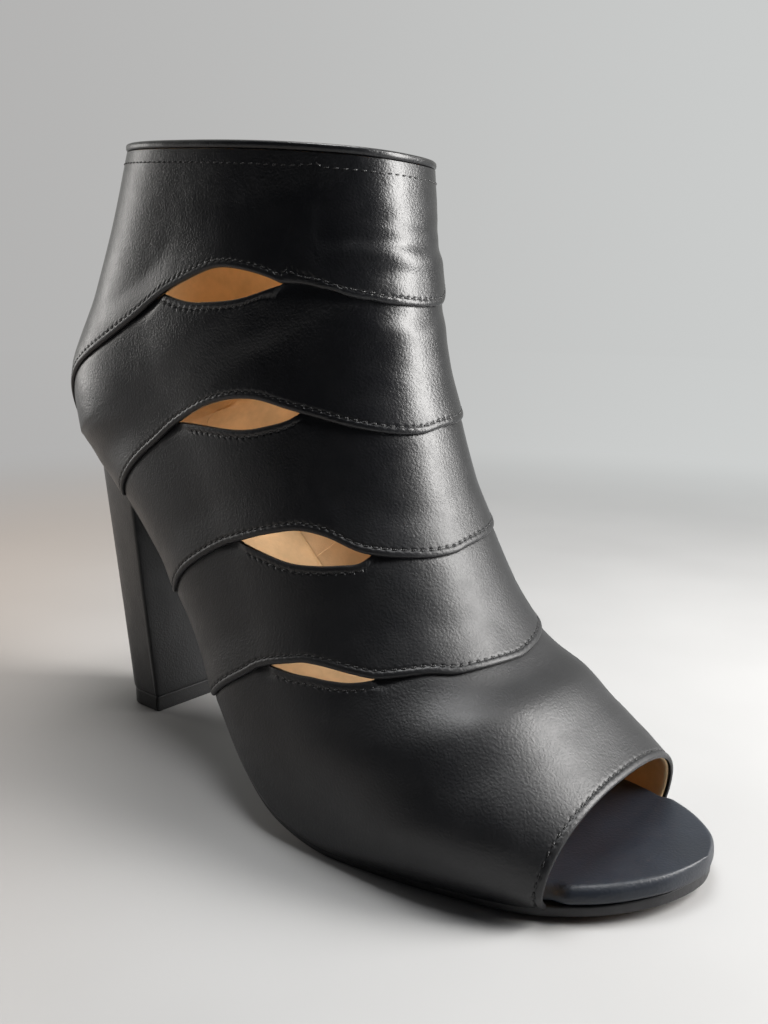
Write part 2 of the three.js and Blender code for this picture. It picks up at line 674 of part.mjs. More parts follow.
// Point of the back seam's outside a length below the collar, with the seam's direction down and the
// direction out of it.
function backSeam(drop) {
  const step = SEAT_ROW / 400;
  let left = drop;
  let u = 0;
  let at = surface(0, 1, 1);
  let next = surface(step, 1, 1);
  while (left > next.distanceTo(at) && u < SEAT_ROW - step) {
    left -= next.distanceTo(at);
    u += step;
    at = next;
    next = surface(u + step, 1, 1);
  }
  const down = next.sub(at).normalize();
  const normal = surfaceNormal(u, 1, 1);
  const lap = (LAP * (u / SEAT_ROW) * BACK_CELLS) / (BACK_CELLS + SEAT_CELLS);
  return { at: at.addScaledVector(normal, lap), down, normal };
}

// The closed zip: tapes and teeth as one strip on the back seam.
function makeZip() {
  const edge = ZIP_WIDTH / 2;
  const teeth = ZIP_TEETH_WIDTH / 2;
  const high = GAP + ZIP_THICKNESS;
  const middle = GAP + ZIP_THICKNESS / 2;
  const profile = [[-edge, GAP], [-edge, middle], [-teeth, high], [teeth, high], [edge, middle], [edge, GAP]];
  const rings = [];
  for (let i = 0; i <= ZIP_CELLS; i += 1) {
    const { at, normal } = backSeam(ZIP_TOP_DROP + (ZIP_LENGTH * i) / ZIP_CELLS);
    rings.push(profile.map(([y, out]) => {
      const p = at.clone().addScaledVector(normal, out);
      return [p.x, p.y + y, p.z];
    }));
  }
  return loft("zip", rings, tape);
}

// The slider's own frame, at the middle of its underside: x down the zip, y across it, z out of it.
function sliderFrame() {
  const { at, down, normal } = backSeam(ZIP_TOP_DROP + SLIDER_DROP);
  const across = new THREE.Vector3().crossVectors(normal, down);
  const origin = at.addScaledVector(normal, GAP + ZIP_THICKNESS + GAP);
  return new THREE.Matrix4().makeBasis(down, across, normal).setPosition(origin);
}

function extrude(shape, depth, curveSegments = 12) {
  return new THREE.ExtrudeGeometry(shape, { depth, bevelEnabled: false, curveSegments });
}

// The slider: a flat body that narrows to its foot, and two lugs that carry the pin.
function makeSlider() {
  const l = SLIDER_LENGTH / 2;
  const w = SLIDER_WIDTH / 2;
  const outer = [[-l, 0.7 * w], [-0.7 * l, w], [0.1 * l, w], [l, 0.6 * w]];
  const plan = [...outer, ...outer.map(([x, y]) => [x, -y]).reverse()];
  const body = extrude(new THREE.Shape(plan.map(([x, y]) => new THREE.Vector2(x, y))), SLIDER_THICKNESS);
  const rise = SLIDER_THICKNESS + PIN_RISE;
  const lugFrom = SLIDER_THICKNESS / 2;
  const lugTo = rise + PIN_DIAMETER / 2 + LUG_WIDTH / 2;
  const lugAt = EYE_WIDTH / 2 + GAP + LUG_WIDTH / 2;
  const lugs = [-lugAt, lugAt].map((y) => {
    const lug = new THREE.BoxGeometry(LUG_LENGTH, LUG_WIDTH, lugTo - lugFrom);
    return lug.translate(0, y, (lugTo + lugFrom) / 2);
  });
  const pin = new THREE.CylinderGeometry(PIN_DIAMETER / 2, PIN_DIAMETER / 2, 2 * lugAt, 16);
  const mesh = join("zip_slider", [body, ...lugs, pin.translate(0, 0, rise)], nickel);
  mesh.applyMatrix4(sliderFrame());
  return mesh;
}

// The pull tab: an eye round the pin and a blade that widens past the lugs, lying along the zip.
function makeTab() {
  const bore = PIN_DIAMETER / 2 + GAP;
  const rim = bore + EYE_WALL;
  const eye = new THREE.Shape().absarc(0, 0, rim, 0, 2 * Math.PI);
  eye.holes.push(new THREE.Path().absarc(0, 0, bore, 0, 2 * Math.PI, true));
  const ring = extrude(eye, EYE_WIDTH, 16).translate(0, 0, -EYE_WIDTH / 2).rotateX(Math.PI / 2);
  const root = bore + EYE_WALL / 2;
  const neck = Math.max(LUG_LENGTH / 2, rim) + GAP;
  const shoulder = neck + (TAB_WIDTH - EYE_WIDTH) / 2;
  const narrow = EYE_WIDTH / 2;
  const wide = TAB_WIDTH / 2;
  const shape = new THREE.Shape().moveTo(root, -narrow).lineTo(neck, -narrow).lineTo(shoulder, -wide);
  shape.absarc(TAB_LENGTH - wide, 0, wide, -Math.PI / 2, Math.PI / 2, false);
  shape.lineTo(shoulder, wide).lineTo(neck, narrow).lineTo(root, narrow).closePath();
  const blade = extrude(shape, TAB_THICKNESS, 8).translate(0, 0, -TAB_THICKNESS / 2);
  const mesh = join("zip_pull_tab", [ring, blade], nickel);
  const place = sliderFrame();
  place.multiply(new THREE.Matrix4().makeTranslation(0, 0, SLIDER_THICKNESS + PIN_RISE));
  place.multiply(new THREE.Matrix4().makeRotationY(degToRad(TAB_TILT)));
  mesh.applyMatrix4(place);
  return mesh;
}

const group = new THREE.Group();
const boot = new THREE.Group();
boot.add(makeUpper(), makeFootbed(), makeOutsole(), makeHeel(), makeLift(), makeBinding());
boot.add(makeZip(), makeSlider(), makeTab());
group.add(boot);

// The frame's origin is on the floor below the middle of the whole boot.
const box = new THREE.Box3().setFromObject(boot);
const middle = box.getCenter(new THREE.Vector3());
boot.position.set(-middle.x, -middle.y, 0);

export default group;
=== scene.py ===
"""Looks of a right peep toe ankle boot: stitched leather panels, lining, footbed, sole, heel and back zip.

Every shape is a numpy surface on the boot's own last, which is written here as tables of shares of named
sizes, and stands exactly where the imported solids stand. Lengths are in metres.
"""

import math

import bpy
import numpy as np
from mathutils import Matrix, Vector


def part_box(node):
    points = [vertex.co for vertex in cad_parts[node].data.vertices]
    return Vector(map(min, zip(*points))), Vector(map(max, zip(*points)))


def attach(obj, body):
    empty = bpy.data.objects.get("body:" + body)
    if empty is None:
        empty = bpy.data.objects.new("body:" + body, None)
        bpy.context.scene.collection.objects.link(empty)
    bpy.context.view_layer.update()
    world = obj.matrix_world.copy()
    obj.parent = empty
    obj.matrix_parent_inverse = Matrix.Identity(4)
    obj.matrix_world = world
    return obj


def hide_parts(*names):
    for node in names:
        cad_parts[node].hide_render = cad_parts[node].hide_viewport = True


bl_info = {
    "name": "Peep toe ankle boot",
    "version": (1, 0, 0),
    "blender": (4, 5, 0),
    "location": "3D View > Sidebar > Boot",
    "description": "Builds the visible pieces of a leather ankle boot around its packed solids",
    "category": "Object",
}

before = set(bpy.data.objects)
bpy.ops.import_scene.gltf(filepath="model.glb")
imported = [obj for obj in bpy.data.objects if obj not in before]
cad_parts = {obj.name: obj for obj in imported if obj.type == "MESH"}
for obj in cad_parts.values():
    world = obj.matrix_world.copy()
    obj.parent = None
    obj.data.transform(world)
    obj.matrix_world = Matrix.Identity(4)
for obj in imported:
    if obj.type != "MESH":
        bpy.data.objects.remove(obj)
MM = 0.001
LIFT_LOW, LIFT_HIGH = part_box("heel_top_lift")

# Stations of the sole's outline from the back of the seat to the tip: share of the length, shares of the
# ball and seat widths, centre line as a share of the ball width, the lower edge's height on the outer and
# inner side as shares of the seat's, and share of the toe spring.
OUTLINE = np.array([
    [0, 0, 0, 0, 1, 1, 0],
    [0.01, 0, 0.44, 0, 0.996, 0.996, 0],
    [0.038, 0, 0.76, 0, 0.979, 0.985, 0],
    [0.083, 0, 0.93, -0.002, 0.94, 0.96, 0],
    [0.158, 0, 1.01, -0.012, 0.851, 0.889, 0],
    [0.24, 0.12, 0.82, -0.035, 0.69, 0.762, 0],
    [0.317, 0.42, 0.37, -0.057, 0.508, 0.602, 0],
    [0.416, 0.74, 0.07, -0.078, 0.29, 0.331, 0],
    [0.489, 0.91, 0, -0.076, 0.147, 0.171, 0],
    [0.561, 1.005, 0, -0.054, 0.044, 0.055, 0],
    [0.64, 1.025, 0, -0.028, 0, 0, 0],
    [0.715, 1, 0, -0.01, 0, 0, 0],
    [0.796, 0.925, 0, 0, 0, 0, 0.08],
    [0.869, 0.825, 0, 0.004, 0, 0, 0.32],
    [0.932, 0.64, 0, 0.018, 0, 0, 0.62],
    [0.974, 0.41, 0, 0.036, 0, 0, 0.84],
    [0.993, 0.21, 0, 0.048, 0, 0, 0.95],
    [1, 0, 0, 0.053, 0, 0, 1],
]).T

# Sections of the upper from the collar to the toe opening: height of the back point between seat and
# collar, its setback as a share of the length, outline station of the lower edge, front point ahead and
# up, half width as shares of the shaft and ball widths, skew to the outer side, lean to the inner side,
# where it is widest, and how square its rear part is.
SECTIONS = np.array([
    [1, 0.088, 0, 0.561, 0.9485, 1.05, 0, -0.048, 0.11, 0.47, 2.58],
    [0.77, 0.056, 0, 0.565, 0.916, 1.06, 0, -0.048, 0.11, 0.47, 2.58],
    [0.51, 0.014, 0, 0.57, 0.891, 1.08, 0, -0.048, 0.1, 0.47, 2.58],
    [0.236, -0.033, 0, 0.575, 0.865, 1.123, 0, -0.038, 0.09, 0.46, 2.68],
    [0, 0, 0, 0.58, 0.838, 1.144, 0, -0.038, 0.08, 0.45, 2.88],
    [0, 0, 1.4, 0.585, 0.81, 1.123, 0, -0.024, 0.08, 0.44, 2.88],
    [0, 0, 2.9, 0.588, 0.766, 1.081, 0, 0, 0.08, 0.43, 2.4],
    [0, 0, 4.2, 0.625, 0.586, 0.81, 0.2, 0.03, 0.065, 0.42, 2.4],
    [0, 0, 6, 0.679, 0.414, 0.37, 0.61, 0.035, 0.045, 0.4, 2.3],
    [0, 0, 7, 0.761, 0.261, 0.081, 0.964, 0.025, 0.025, 0.36, 2.3],
    [0, 0, 8.4, 0.818, 0.229, 0, 1.1, 0.031, 0.015, 0.33, 2.2],
    [0, 0, 9.9, 0.854, 0.192, 0, 1.106, 0.025, 0.01, 0.3, 2.2],
    [0, 0, 11.6, 0.881, 0.165, 0, 1.03, 0.01, 0, 0.27, 2.1],
    [0, 0, 13.35, 0.909, 0.142, 0, 0.83, 0, 0, 0.22, 2],
]).T
SEAT_ROW = 4
TOE_ROW = 13

# Seams as section numbers at even steps from the front line to the lower edge, and each seam's slit:
# its front and rear ends as shares of the way round, and its height as a share of the slit height.
SEAMS = {
    -1: [
        ([6.18, 6.15, 6.06, 5.8, 4, 3.02, 2.68, 2.71, 2.9, 3.02, 3.08, 3.15, 3.32, 3.7, 4.4, 5.2],
         0.264, 0.478, 0.93),
        ([7.07, 7.1, 7.08, 7.02, 6.93, 6.81, 6.67, 6.49, 6.37, 6.32, 6.34, 6.42, 6.5, 6.61, 6.74, 6.88],
         0.374, 0.654, 0.95),
        ([8.03, 8.06, 8.05, 8.01, 7.95, 7.86, 7.7, 7.6, 7.57, 7.56, 7.56, 7.58, 7.62, 7.67, 7.74, 7.82],
         0.302, 0.645, 1),
        ([9, 8.97, 8.95, 8.93, 8.86, 8.84, 8.82, 8.74, 8.65, 8.6, 8.6, 8.62, 8.7, 8.78, 8.87, 8.97],
         0.41, 0.704, 0.42),
    ],
    1: [
        ([6.18, 6.15, 6.0, 5.2, 3.4, 2.78, 2.52, 2.68, 3.05, 3.3, 3.6, 4.05, 4.6, 5.1, 5.6, 6.1],
         0.24, 0.489, 0.96),
        ([7.07, 7.05, 7.01, 6.94, 6.85, 6.72, 6.56, 6.42, 6.35, 6.34, 6.42, 6.57, 6.72, 6.87, 7, 7.13],
         0.333, 0.635, 1),
        ([8.03, 8, 7.96, 7.91, 7.84, 7.7, 7.6, 7.56, 7.59, 7.66, 7.74, 7.83, 7.91, 7.99, 8.07, 8.14],
         0.282, 0.587, 1.03),
        ([9, 8.94, 8.88, 8.84, 8.78, 8.68, 8.63, 8.6, 8.63, 8.68, 8.74, 8.81, 8.88, 8.94, 9, 9.06],
         0.241, 0.549, 0.89),
    ],
}
PANEL_NAMES = ("collar_panel", "band_upper", "band_middle", "band_lower", "vamp")

# Creases of the upper, pressed in by wear: side, panel, way round, share of the panel's height, half
# length as a share of the way round, half width and depth in millimetres, and how far its ends droop as a
# share of the panel's height. A negative depth is a fold that stands out.
CREASES = [
    (-1, 0, 0.07, 0.42, 0.10, 2.2, 0.28, 0.02),
    (-1, 0, 0.09, 0.55, 0.12, 2.0, 0.42, 0.03),
    (-1, 0, 0.08, 0.66, 0.11, 2.6, -0.36, 0.04),
    (-1, 0, 0.07, 0.78, 0.10, 2.2, 0.40, 0.04),
    (1, 0, 0.06, 0.43, 0.09, 2.2, 0.25, 0.02),
    (1, 0, 0.07, 0.56, 0.11, 2.0, 0.38, 0.03),
    (1, 0, 0.07, 0.67, 0.11, 2.6, -0.32, 0.04),
    (-1, 1, 0.09, 0.13, 0.12, 2.4, 0.45, 0.03),
    (-1, 1, 0.10, 0.27, 0.13, 3.0, -0.38, 0.04),
    (-1, 1, 0.11, 0.52, 0.13, 3.4, 0.30, 0.03),
    (1, 1, 0.08, 0.14, 0.11, 2.4, 0.40, 0.03),
    (1, 1, 0.09, 0.28, 0.12, 3.0, -0.32, 0.04),
    (-1, 2, 0.12, 0.70, 0.14, 4.0, 0.22, 0.04),
    (-1, 3, 0.13, 0.62, 0.14, 4.5, 0.22, -0.04),
]


def curve(values, t, before=None, after=None, low=0, high=None):
    """Smooth curve through evenly spaced values that never overshoots: a cubic between each pair, with
    slopes limited by the steps on both sides. before and after stand in for the values past the ends."""
    values = np.asarray(values, float)
    high = len(values) - 1 if high is None else high
    x = np.clip(np.asarray(t, float), low, high)
    i = np.clip(np.floor(x).astype(int), low, high - 1)
    f = x - i
    step = values[i + 1] - values[i]
    first = values[low] - (values[low + 1] - values[low]) if before is None else before
    past = values[high] + (values[high] - values[high - 1]) if after is None else after
    last = values[i] - np.where(i > low, values[np.maximum(i - 1, 0)], first)
    onward = np.where(i < high - 1, values[np.minimum(i + 2, len(values) - 1)], past) - values[i + 1]

    def slope(p, q):
        limit = np.minimum(np.minimum(np.abs(p), np.abs(q)), np.abs(p + q) / 4)
        return (np.sign(p) + np.sign(q)) * limit

    a, b = slope(last, step), slope(step, onward)
    return values[i] + f * a + f * f * (3 * step - 2 * a - b) + f ** 3 * (a + b - 2 * step)


def smooth(x, low=0.0, high=1.0):
    """Smoothstep of x from low to high: 3t^2 - 2t^3 of the clamped share."""
    t = np.clip((np.asarray(x, float) - low) / (high - low), 0, 1)
    return t * t * (3 - 2 * t)


def bell(x, width):
    """Gaussian bump of the given half width."""
    return np.exp(-(np.asarray(x) / width) ** 2)


def run_along(points):
    """Length so far along the first axis of an array of points."""
    steps = np.linalg.norm(np.diff(points, axis=0), axis=-1)
    return np.concatenate([0 * steps[:1], np.cumsum(steps, axis=0)])


def unit(vectors):
    return vectors / np.maximum(np.linalg.norm(vectors, axis=-1, keepdims=True), 1e-12)


class Last:
    """The boot's last as a surface of section number u, way round v and side, for one set of sizes."""

    def __init__(self, sizes):
        self.z = sizes
        half = (OUTLINE[1] * sizes.ball_width + OUTLINE[2] * sizes.seat_width) / 2
        self.halves = half
        self.sole_top = sizes.outsole_thickness + sizes.gap
        centre = (LIFT_LOW + LIFT_HIGH) / 2
        foot = sizes.breast_at_floor - sizes.heel_foot_depth / 2
        self.shift = np.array([centre.x - foot, centre.y - sizes.heel_foot_shift, 0.0])

    def outline(self, station):
        """Sole's outline at a station: x, half width, centre line, lower edge outside and inside."""
        z, along = self.z, OUTLINE[0]
        half = np.maximum(curve(self.halves, station, -self.halves[1], -self.halves[-2]), 0)
        lift = self.sole_top + z.toe_spring * np.maximum(curve(OUTLINE[6], station), 0)
        rise = z.seat_height - self.sole_top
        x = z.shoe_length * curve(along, station, along[1], along[-2])
        outer = lift + rise * np.maximum(curve(OUTLINE[4], station), 0)
        inner = lift + rise * np.maximum(curve(OUTLINE[5], station), 0)
        return x, half, z.ball_width * curve(OUTLINE[3], station), outer, inner

    def station(self, x):
        """Station of the outline at x, by looking it up in a fine table."""
        stations = np.linspace(0, OUTLINE.shape[1] - 1, 4001)
        return np.interp(x, self.outline(stations)[0], stations)

    def edge_height(self, x, y):
        """Height of the upper's lower edge above a point of the plan, straight between the sides."""
        _, half, centre, outer, inner = self.outline(self.station(x))
        share = np.clip(np.where(half > 1e-5, (y - centre) / np.maximum(half, 1e-5), 0), -1, 1)
        return outer + (inner - outer) * (share + 1) / 2

    def point(self, u, v, side):
        """Point of the last: the front and rear parts of a section are quarter superellipses between its
        back and front points, and the rear one stops where it is as wide as the sole below it. side may
        be an array too."""
        u, v, side = np.broadcast_arrays(np.asarray(u, float), np.asarray(v, float), side)
        z = self.z
        at = [curve(row, u) for row in SECTIONS]
        closed = u <= SEAT_ROW
        station = np.where(closed, 0, curve(SECTIONS[2], u, low=SEAT_ROW))
        x, half, centre, outer, inner = self.outline(station)
        back = curve(SECTIONS[0], u, high=SEAT_ROW)
        back_x = np.where(closed, curve(SECTIONS[1], u, high=SEAT_ROW) * z.shoe_length, x)
        seat_z = z.seat_height + back * (z.collar_height - z.seat_height)
        back_z = np.where(closed, seat_z, np.where(side > 0, inner, outer))
        width = (at[5] * z.shaft_width + at[6] * z.ball_width) / 2 * (1 - side * at[7])
        base = np.minimum(np.where(closed, 0, half + side * centre), width * 0.998)
        widest, full = at[9], at[10]
        reach = (1 - (base / width) ** full) ** (1 / full)
        angle = v * (np.pi / 2 + np.arcsin(np.minimum(reach, 1)))
        c = np.cos(angle)
        share = np.where(c >= 0, widest + (1 - widest) * c, widest * (1 + c / reach))
        power = np.where(c >= 0, z.crown, full)
        w = width * np.maximum(1 - np.abs(c) ** power, 0) ** (1 / power)
        rooted = np.where(closed, back, 0)
        sway = at[8] * z.shaft_width * (rooted + (1 - rooted) * smooth(share / widest))
        px = back_x + (at[3] * z.shoe_length - back_x) * share
        pz = back_z + (at[4] * z.collar_height - back_z) * share
        return np.stack([px, sway + side * w, pz], -1) + self.shift

    def normal(self, u, v, side):
        """Outward normal by differences along u and v; on the front line and the back seam it stays in
        the middle plane."""
        u, v, side = np.broadcast_arrays(np.asarray(u, float), np.asarray(v, float), side)
        step = 0.01
        at_back = (v >= 1 - 1e-9) & (u <= SEAT_ROW + 1e-6)
        u1 = np.minimum(u + step, np.where(at_back, SEAT_ROW, TOE_ROW))
        down = self.point(u1, v, side) - self.point(np.maximum(u - step, 0), v, side)
        v0, v1 = np.maximum(v - step, 0.001), np.minimum(v + step, 0.999)
        around = self.point(u, v1, side) - self.point(u, v0, side)
        general = np.cross(down, around) * side[..., None]
        ahead = np.stack([-down[..., 2], 0 * down[..., 0], down[..., 0]], -1)
        result = np.where((v <= 1e-9)[..., None], ahead, general)
        return unit(np.where(at_back[..., None], -ahead, result))


def seam_row(side, seam, v):
    """Section number of a seam at a way round."""
    rows = SEAMS[side][seam][0]
    return curve(rows, np.asarray(v) * (len(rows) - 1))


def way_round(side, seam, parts):
    """Ways round of a seam's columns: even steps in front of the slit, along it and behind it."""
    _, front, rear, _ = SEAMS[side][seam]
    ahead, slit, behind = parts
    return np.concatenate([
        np.linspace(0, front, ahead, endpoint=False),
        np.linspace(front, rear, slit, endpoint=False),
        np.linspace(rear, 1, behind + 1),
    ])


PARTS = (30, 48, 46)            # columns in front of a slit, along it and behind it
UNDERLAP = 3.0 * MM             # how far a panel runs on below the one above it
EDGE_STEPS = np.array([0, 0.1, 0.28, 0.5, 0.8, 1.15, 1.5, 1.8, 2.05, 2.3, 2.6, 3.0, 3.6, 4.6, 6.2, 8.4]) * MM
STITCH_STEP = 8                 # the edge step on which the stitches lie
COLLAR_STEP = 12                # and the one of the stitches below the collar
MIDDLE_STEPS = 22
SEAM_STEPS = 40                 # steps a section in which lengths beside a seam are measured
VAMP = 4                        # number of the lowest panel
CLIMB = 14 * MM                 # along which a panel climbs over the one below it
LAP_REST = 0.15                 # share of the lap that a panel keeps away from its lower edge
VAMP_LAP = 0.2 * MM
UNDERLAP_DROP = 0.7 * MM        # how far a panel dives below the one above it
SWELL_AT, SWELL_WIDTH = 1.1 * MM, 0.75 * MM
FURROW_WIDTH = 0.42 * MM
EDGE_SHARE = 0.35               # share of the leather's thickness that is left at a folded edge
STITCH_PITCH = 2.5 * MM
STITCH_LENGTH = 1.75 * MM
THREAD_RADIUS = 0.24 * MM
STITCH_LIFT = 0.05 * MM
STITCH_TURN = 0.12              # of a stitch out of its row, in radians
STITCH_SIDES = 6


class Panel:
    """Grid of one panel over both sides: columns run from the outer lower edge over the front line to the
    inner one, and rows from the panel's top edge to its bottom edge, close together at both."""

    def __init__(self, last, number, parts=PARTS, edge=EDGE_STEPS, middle=MIDDLE_STEPS):
        self.last, self.number = last, number
        halves = [self.half(side, parts, edge, middle) for side in (-1, 1)]
        self.columns = halves[0]["u"].shape[1]
        flipped = {key: value[:, ::-1] for key, value in halves[0].items()}
        join = {key: np.concatenate([flipped[key], halves[1][key][:, 1:]], axis=1) for key in flipped}
        self.u, self.v, self.side = join["u"], join["v"], join["side"]
        self.low, self.top = join["low"], join["top"]
        self.share, self.slit_top = join["share"], join["slit_top"]
        self.base = last.point(self.u, self.v, self.side)
        self.out = last.normal(self.u, self.v, self.side)

    def top_edge(self, side, v, parts):
        """Section numbers of the panel's top edge: the seam above, moved down by the slit's bow, and
        moved up under the panel above outside the slit, by lengths measured along each column."""
        if self.number == 0:
            return np.zeros(len(v))
        place = np.arange(len(v))
        bow = np.sin(np.pi * np.clip((place - parts[0]) / parts[1], 0, 1))
        outside = 1 - smooth(np.minimum(place - parts[0], parts[0] + parts[1] - place), -9, 1)
        near = np.arange(-SEAM_STEPS, 2.5 * SEAM_STEPS + 1)[:, None] / SEAM_STEPS
        sections = seam_row(side, self.number - 1, v) + near
        reached = run_along(self.last.point(np.clip(sections, 0, TOE_ROW), v, side))
        reached -= reached[SEAM_STEPS]
        wanted = self.last.z.slit_height * SEAMS[side][self.number - 1][3] * bow - UNDERLAP * outside
        return np.array([np.interp(wanted[j], reached[:, j], sections[:, j]) for j in place])

    def half(self, side, parts, edge, middle):
        """Grid of one side: section number, way round, side, distances from the lower and the upper
        edge, share of the height, and how far a point lies at a slit."""
        last, number = self.last, self.number
        above, below = max(number - 1, 0), min(number, VAMP - 1)
        v_top, v_low = way_round(side, above, parts), way_round(side, below, parts)
        count = len(v_top)
        place = np.arange(count)
        u_top = self.top_edge(side, v_top, parts)
        u_low = np.full(count, float(TOE_ROW)) if number == VAMP else seam_row(side, below, v_low)
        # Rows at given lengths along each column, measured square to the edges.
        t = np.linspace(0, 1, 161)[:, None]
        u, v = u_top + (u_low - u_top) * t, v_top + (v_low - v_top) * t
        path = last.point(u, v, side)
        length = run_along(path)
        total = length[-1]

        def squareness(row, step):
            edge_line = unit(np.gradient(path[row], axis=0))
            column = unit(path[row + step] - path[row]) * np.sign(step)
            return np.sqrt(np.maximum(1 - np.sum(edge_line * column, -1) ** 2, 0.12))

        square_top, square_low = squareness(0, 3), squareness(-1, -3)
        reach = np.minimum(1, 0.46 * total / (edge[-1] / np.minimum(square_top, square_low)))
        top_rows = edge[:, None] / square_top * reach
        low_rows = total - edge[::-1, None] / square_low * reach
        span = np.linspace(0, 1, middle + 2)[1:-1, None]
        middle_rows = top_rows[-1] + (low_rows[0] - top_rows[-1]) * span
        rows = np.concatenate([top_rows, middle_rows, low_rows])
        share = np.stack([np.interp(rows[:, j], length[:, j], t[:, 0]) for j in range(count)], 1)
        u_rows, v_rows = u_top + (u_low - u_top) * share, v_top + (v_low - v_top) * share
        in_slit = smooth(np.minimum(place - parts[0], parts[0] + parts[1] - place), -1, 2)
        ones = np.ones_like(rows)
        return {
            "u": u_rows,
            "v": np.clip(v_rows, 0, 1),
            "side": side * ones,
            "low": (total - rows) * square_low,
            "top": rows * square_top,
            "share": rows / total,
            "slit_top": (in_slit if number else 0 * in_slit) * ones,
        }

    def creases(self):
        """Depth of the wear folds: each is a bell across the panel and fades out along the way round."""
        depth = np.zeros_like(self.u)
        height = np.maximum(self.low + self.top, 1e-4)
        for side, panel, way, share, reach, width, deep, droop in CREASES:
            if panel != self.number:
                continue
            off = (self.v * self.side - side * way) / reach
            line = share + droop * off ** 2
            across = (self.share - line) * height / (width * MM)
            depth += deep * MM * np.exp(-(across ** 2)) * np.exp(-1.3 * off ** 2)
        return depth

    def outer_skin(self):
        """The leather's face: it climbs over the next panel towards its bottom edge, rolls over at its
        folded edges, swells beside them and sinks along the stitches."""
        z, low, top = self.last.z, self.low, self.top
        if self.number < VAMP:
            height = z.lap * (LAP_REST + (1 - LAP_REST) * smooth(1 - low / CLIMB))
        else:
            height = VAMP_LAP
        height = height + self.seam_relief(low, 0.16 * MM, 0.2 * MM)
        height += self.slit_top * self.seam_relief(top, 0.12 * MM, 0.18 * MM)
        if self.number:
            height -= (1 - self.slit_top) * UNDERLAP_DROP * smooth(1 - top / (UNDERLAP * 1.5))
        return height - self.creases()

    def rolled(self, away):
        """Share of a folded edge's roundness at a distance from the edge: a quarter circle, then 1."""
        fold = self.last.z.fold_radius
        return np.sqrt(np.maximum(fold ** 2 - np.maximum(fold - away, 0) ** 2, 0)) / fold

    def seam_relief(self, away, swell, sink):
        """The folded edge's roll, the swelling beside it and the furrow of its stitches."""
        roll = self.last.z.fold_radius * (1 - self.rolled(away))
        furrow = sink * bell(away - EDGE_STEPS[STITCH_STEP], FURROW_WIDTH)
        return swell * bell(away - SWELL_AT, SWELL_WIDTH) - furrow - roll

    def mesh_points(self):
        """Outer skin and inner skin of the leather layer, as two grids; the layer thins at its folds."""
        outer = self.outer_skin()
        edge = self.rolled(self.low) * (1 - EDGE_SHARE) + EDGE_SHARE
        rim = self.rolled(self.top) * (1 - EDGE_SHARE) + EDGE_SHARE
        inner = outer - self.last.z.leather_thickness * np.minimum(edge, 1 - self.slit_top * (1 - rim))
        return self.base + self.out * outer[..., None], self.base + self.out * inner[..., None]


# ---- meshes ----


def make_object(name, vertices, faces, material, uvs=None):
    """One mesh object at the origin, riding on the boot. uvs maps a name to one pair a vertex."""
    mesh = bpy.data.meshes.new(name)
    mesh.from_pydata(vertices.tolist(), [], faces if isinstance(faces, list) else faces.tolist())
    mesh.validate()
    mesh.polygons.foreach_set("use_smooth", np.ones(len(mesh.polygons), bool))
    mesh.materials.append(material)
    if uvs:
        corner = np.zeros(len(mesh.loops), np.int32)
        mesh.loops.foreach_get("vertex_index", corner)
        for layer, pairs in uvs.items():
            data = mesh.uv_layers.new(name=layer)
            data.data.foreach_set("uv", np.asarray(pairs, np.float32)[corner].ravel())
    mesh.update()
    piece = bpy.data.objects.new(name, mesh)
    bpy.context.scene.collection.objects.link(piece)
    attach(piece, "boot")
    return piece


def grid_faces(rows, columns, close_rows=False, close_columns=False, start=0, flip=False):
    """Quads of a grid whose vertices run row by row."""
    i = np.arange(rows if close_rows else rows - 1)[:, None]
    j = np.arange(columns if close_columns else columns - 1)[None, :]
    i2, j2 = (i + 1) % rows, (j + 1) % columns
    quads = np.stack([i * columns + j, i * columns + j2, i2 * columns + j2, i2 * columns + j], -1)
    quads = quads.reshape(-1, 4) + start
    return quads[:, ::-1] if flip else quads


def layer_faces(rows, columns):
    """Faces of a closed layer: outer grid, inner grid turned round, and walls along its four edges."""
    shift = rows * columns
    outer = grid_faces(rows, columns)
    inner = grid_faces(rows, columns, start=shift, flip=True)
    index = np.arange(shift).reshape(rows, columns)
    walls = []
    for edge, turn in ((index[0], False), (index[-1], True), (index[:, 0], True), (index[:, -1], False)):
        a, b = edge[:-1], edge[1:]
        quad = np.stack([a, a + shift, b + shift, b], -1)
        walls.append(quad[:, ::-1] if turn else quad)
    return np.concatenate([outer, inner, *walls])


def face_out(piece):
    """Turns a closed mesh inside out if its signed volume is negative."""
    mesh = piece.data
    mesh.calc_loop_triangles()
    corners = np.zeros(len(mesh.loop_triangles) * 3, np.int32)
    mesh.loop_triangles.foreach_get("vertices", corners)
    place = np.zeros(len(mesh.vertices) * 3, np.float32)
    mesh.vertices.foreach_get("co", place)
    a, b, c = np.moveaxis(place.reshape(-1, 3)[corners.reshape(-1, 3)], 1, 0)
    if np.sum(a * np.cross(b, c)) < 0:
        mesh.flip_normals()
    return piece


def add_piece(name, vertices, faces, material, slot, node=None, uvs=None):
    """A closed piece with its faces outward and its material; slot is not used. It may stand for a CAD node.
    """
    piece = face_out(make_object(name, vertices, faces, material, uvs))
    if node:
        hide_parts(node)


def both_skins(outer, inner):
    """Vertices and faces of a closed layer between two grids of points."""
    return np.concatenate([outer.reshape(-1, 3), inner.reshape(-1, 3)]), layer_faces(*outer.shape[:2])


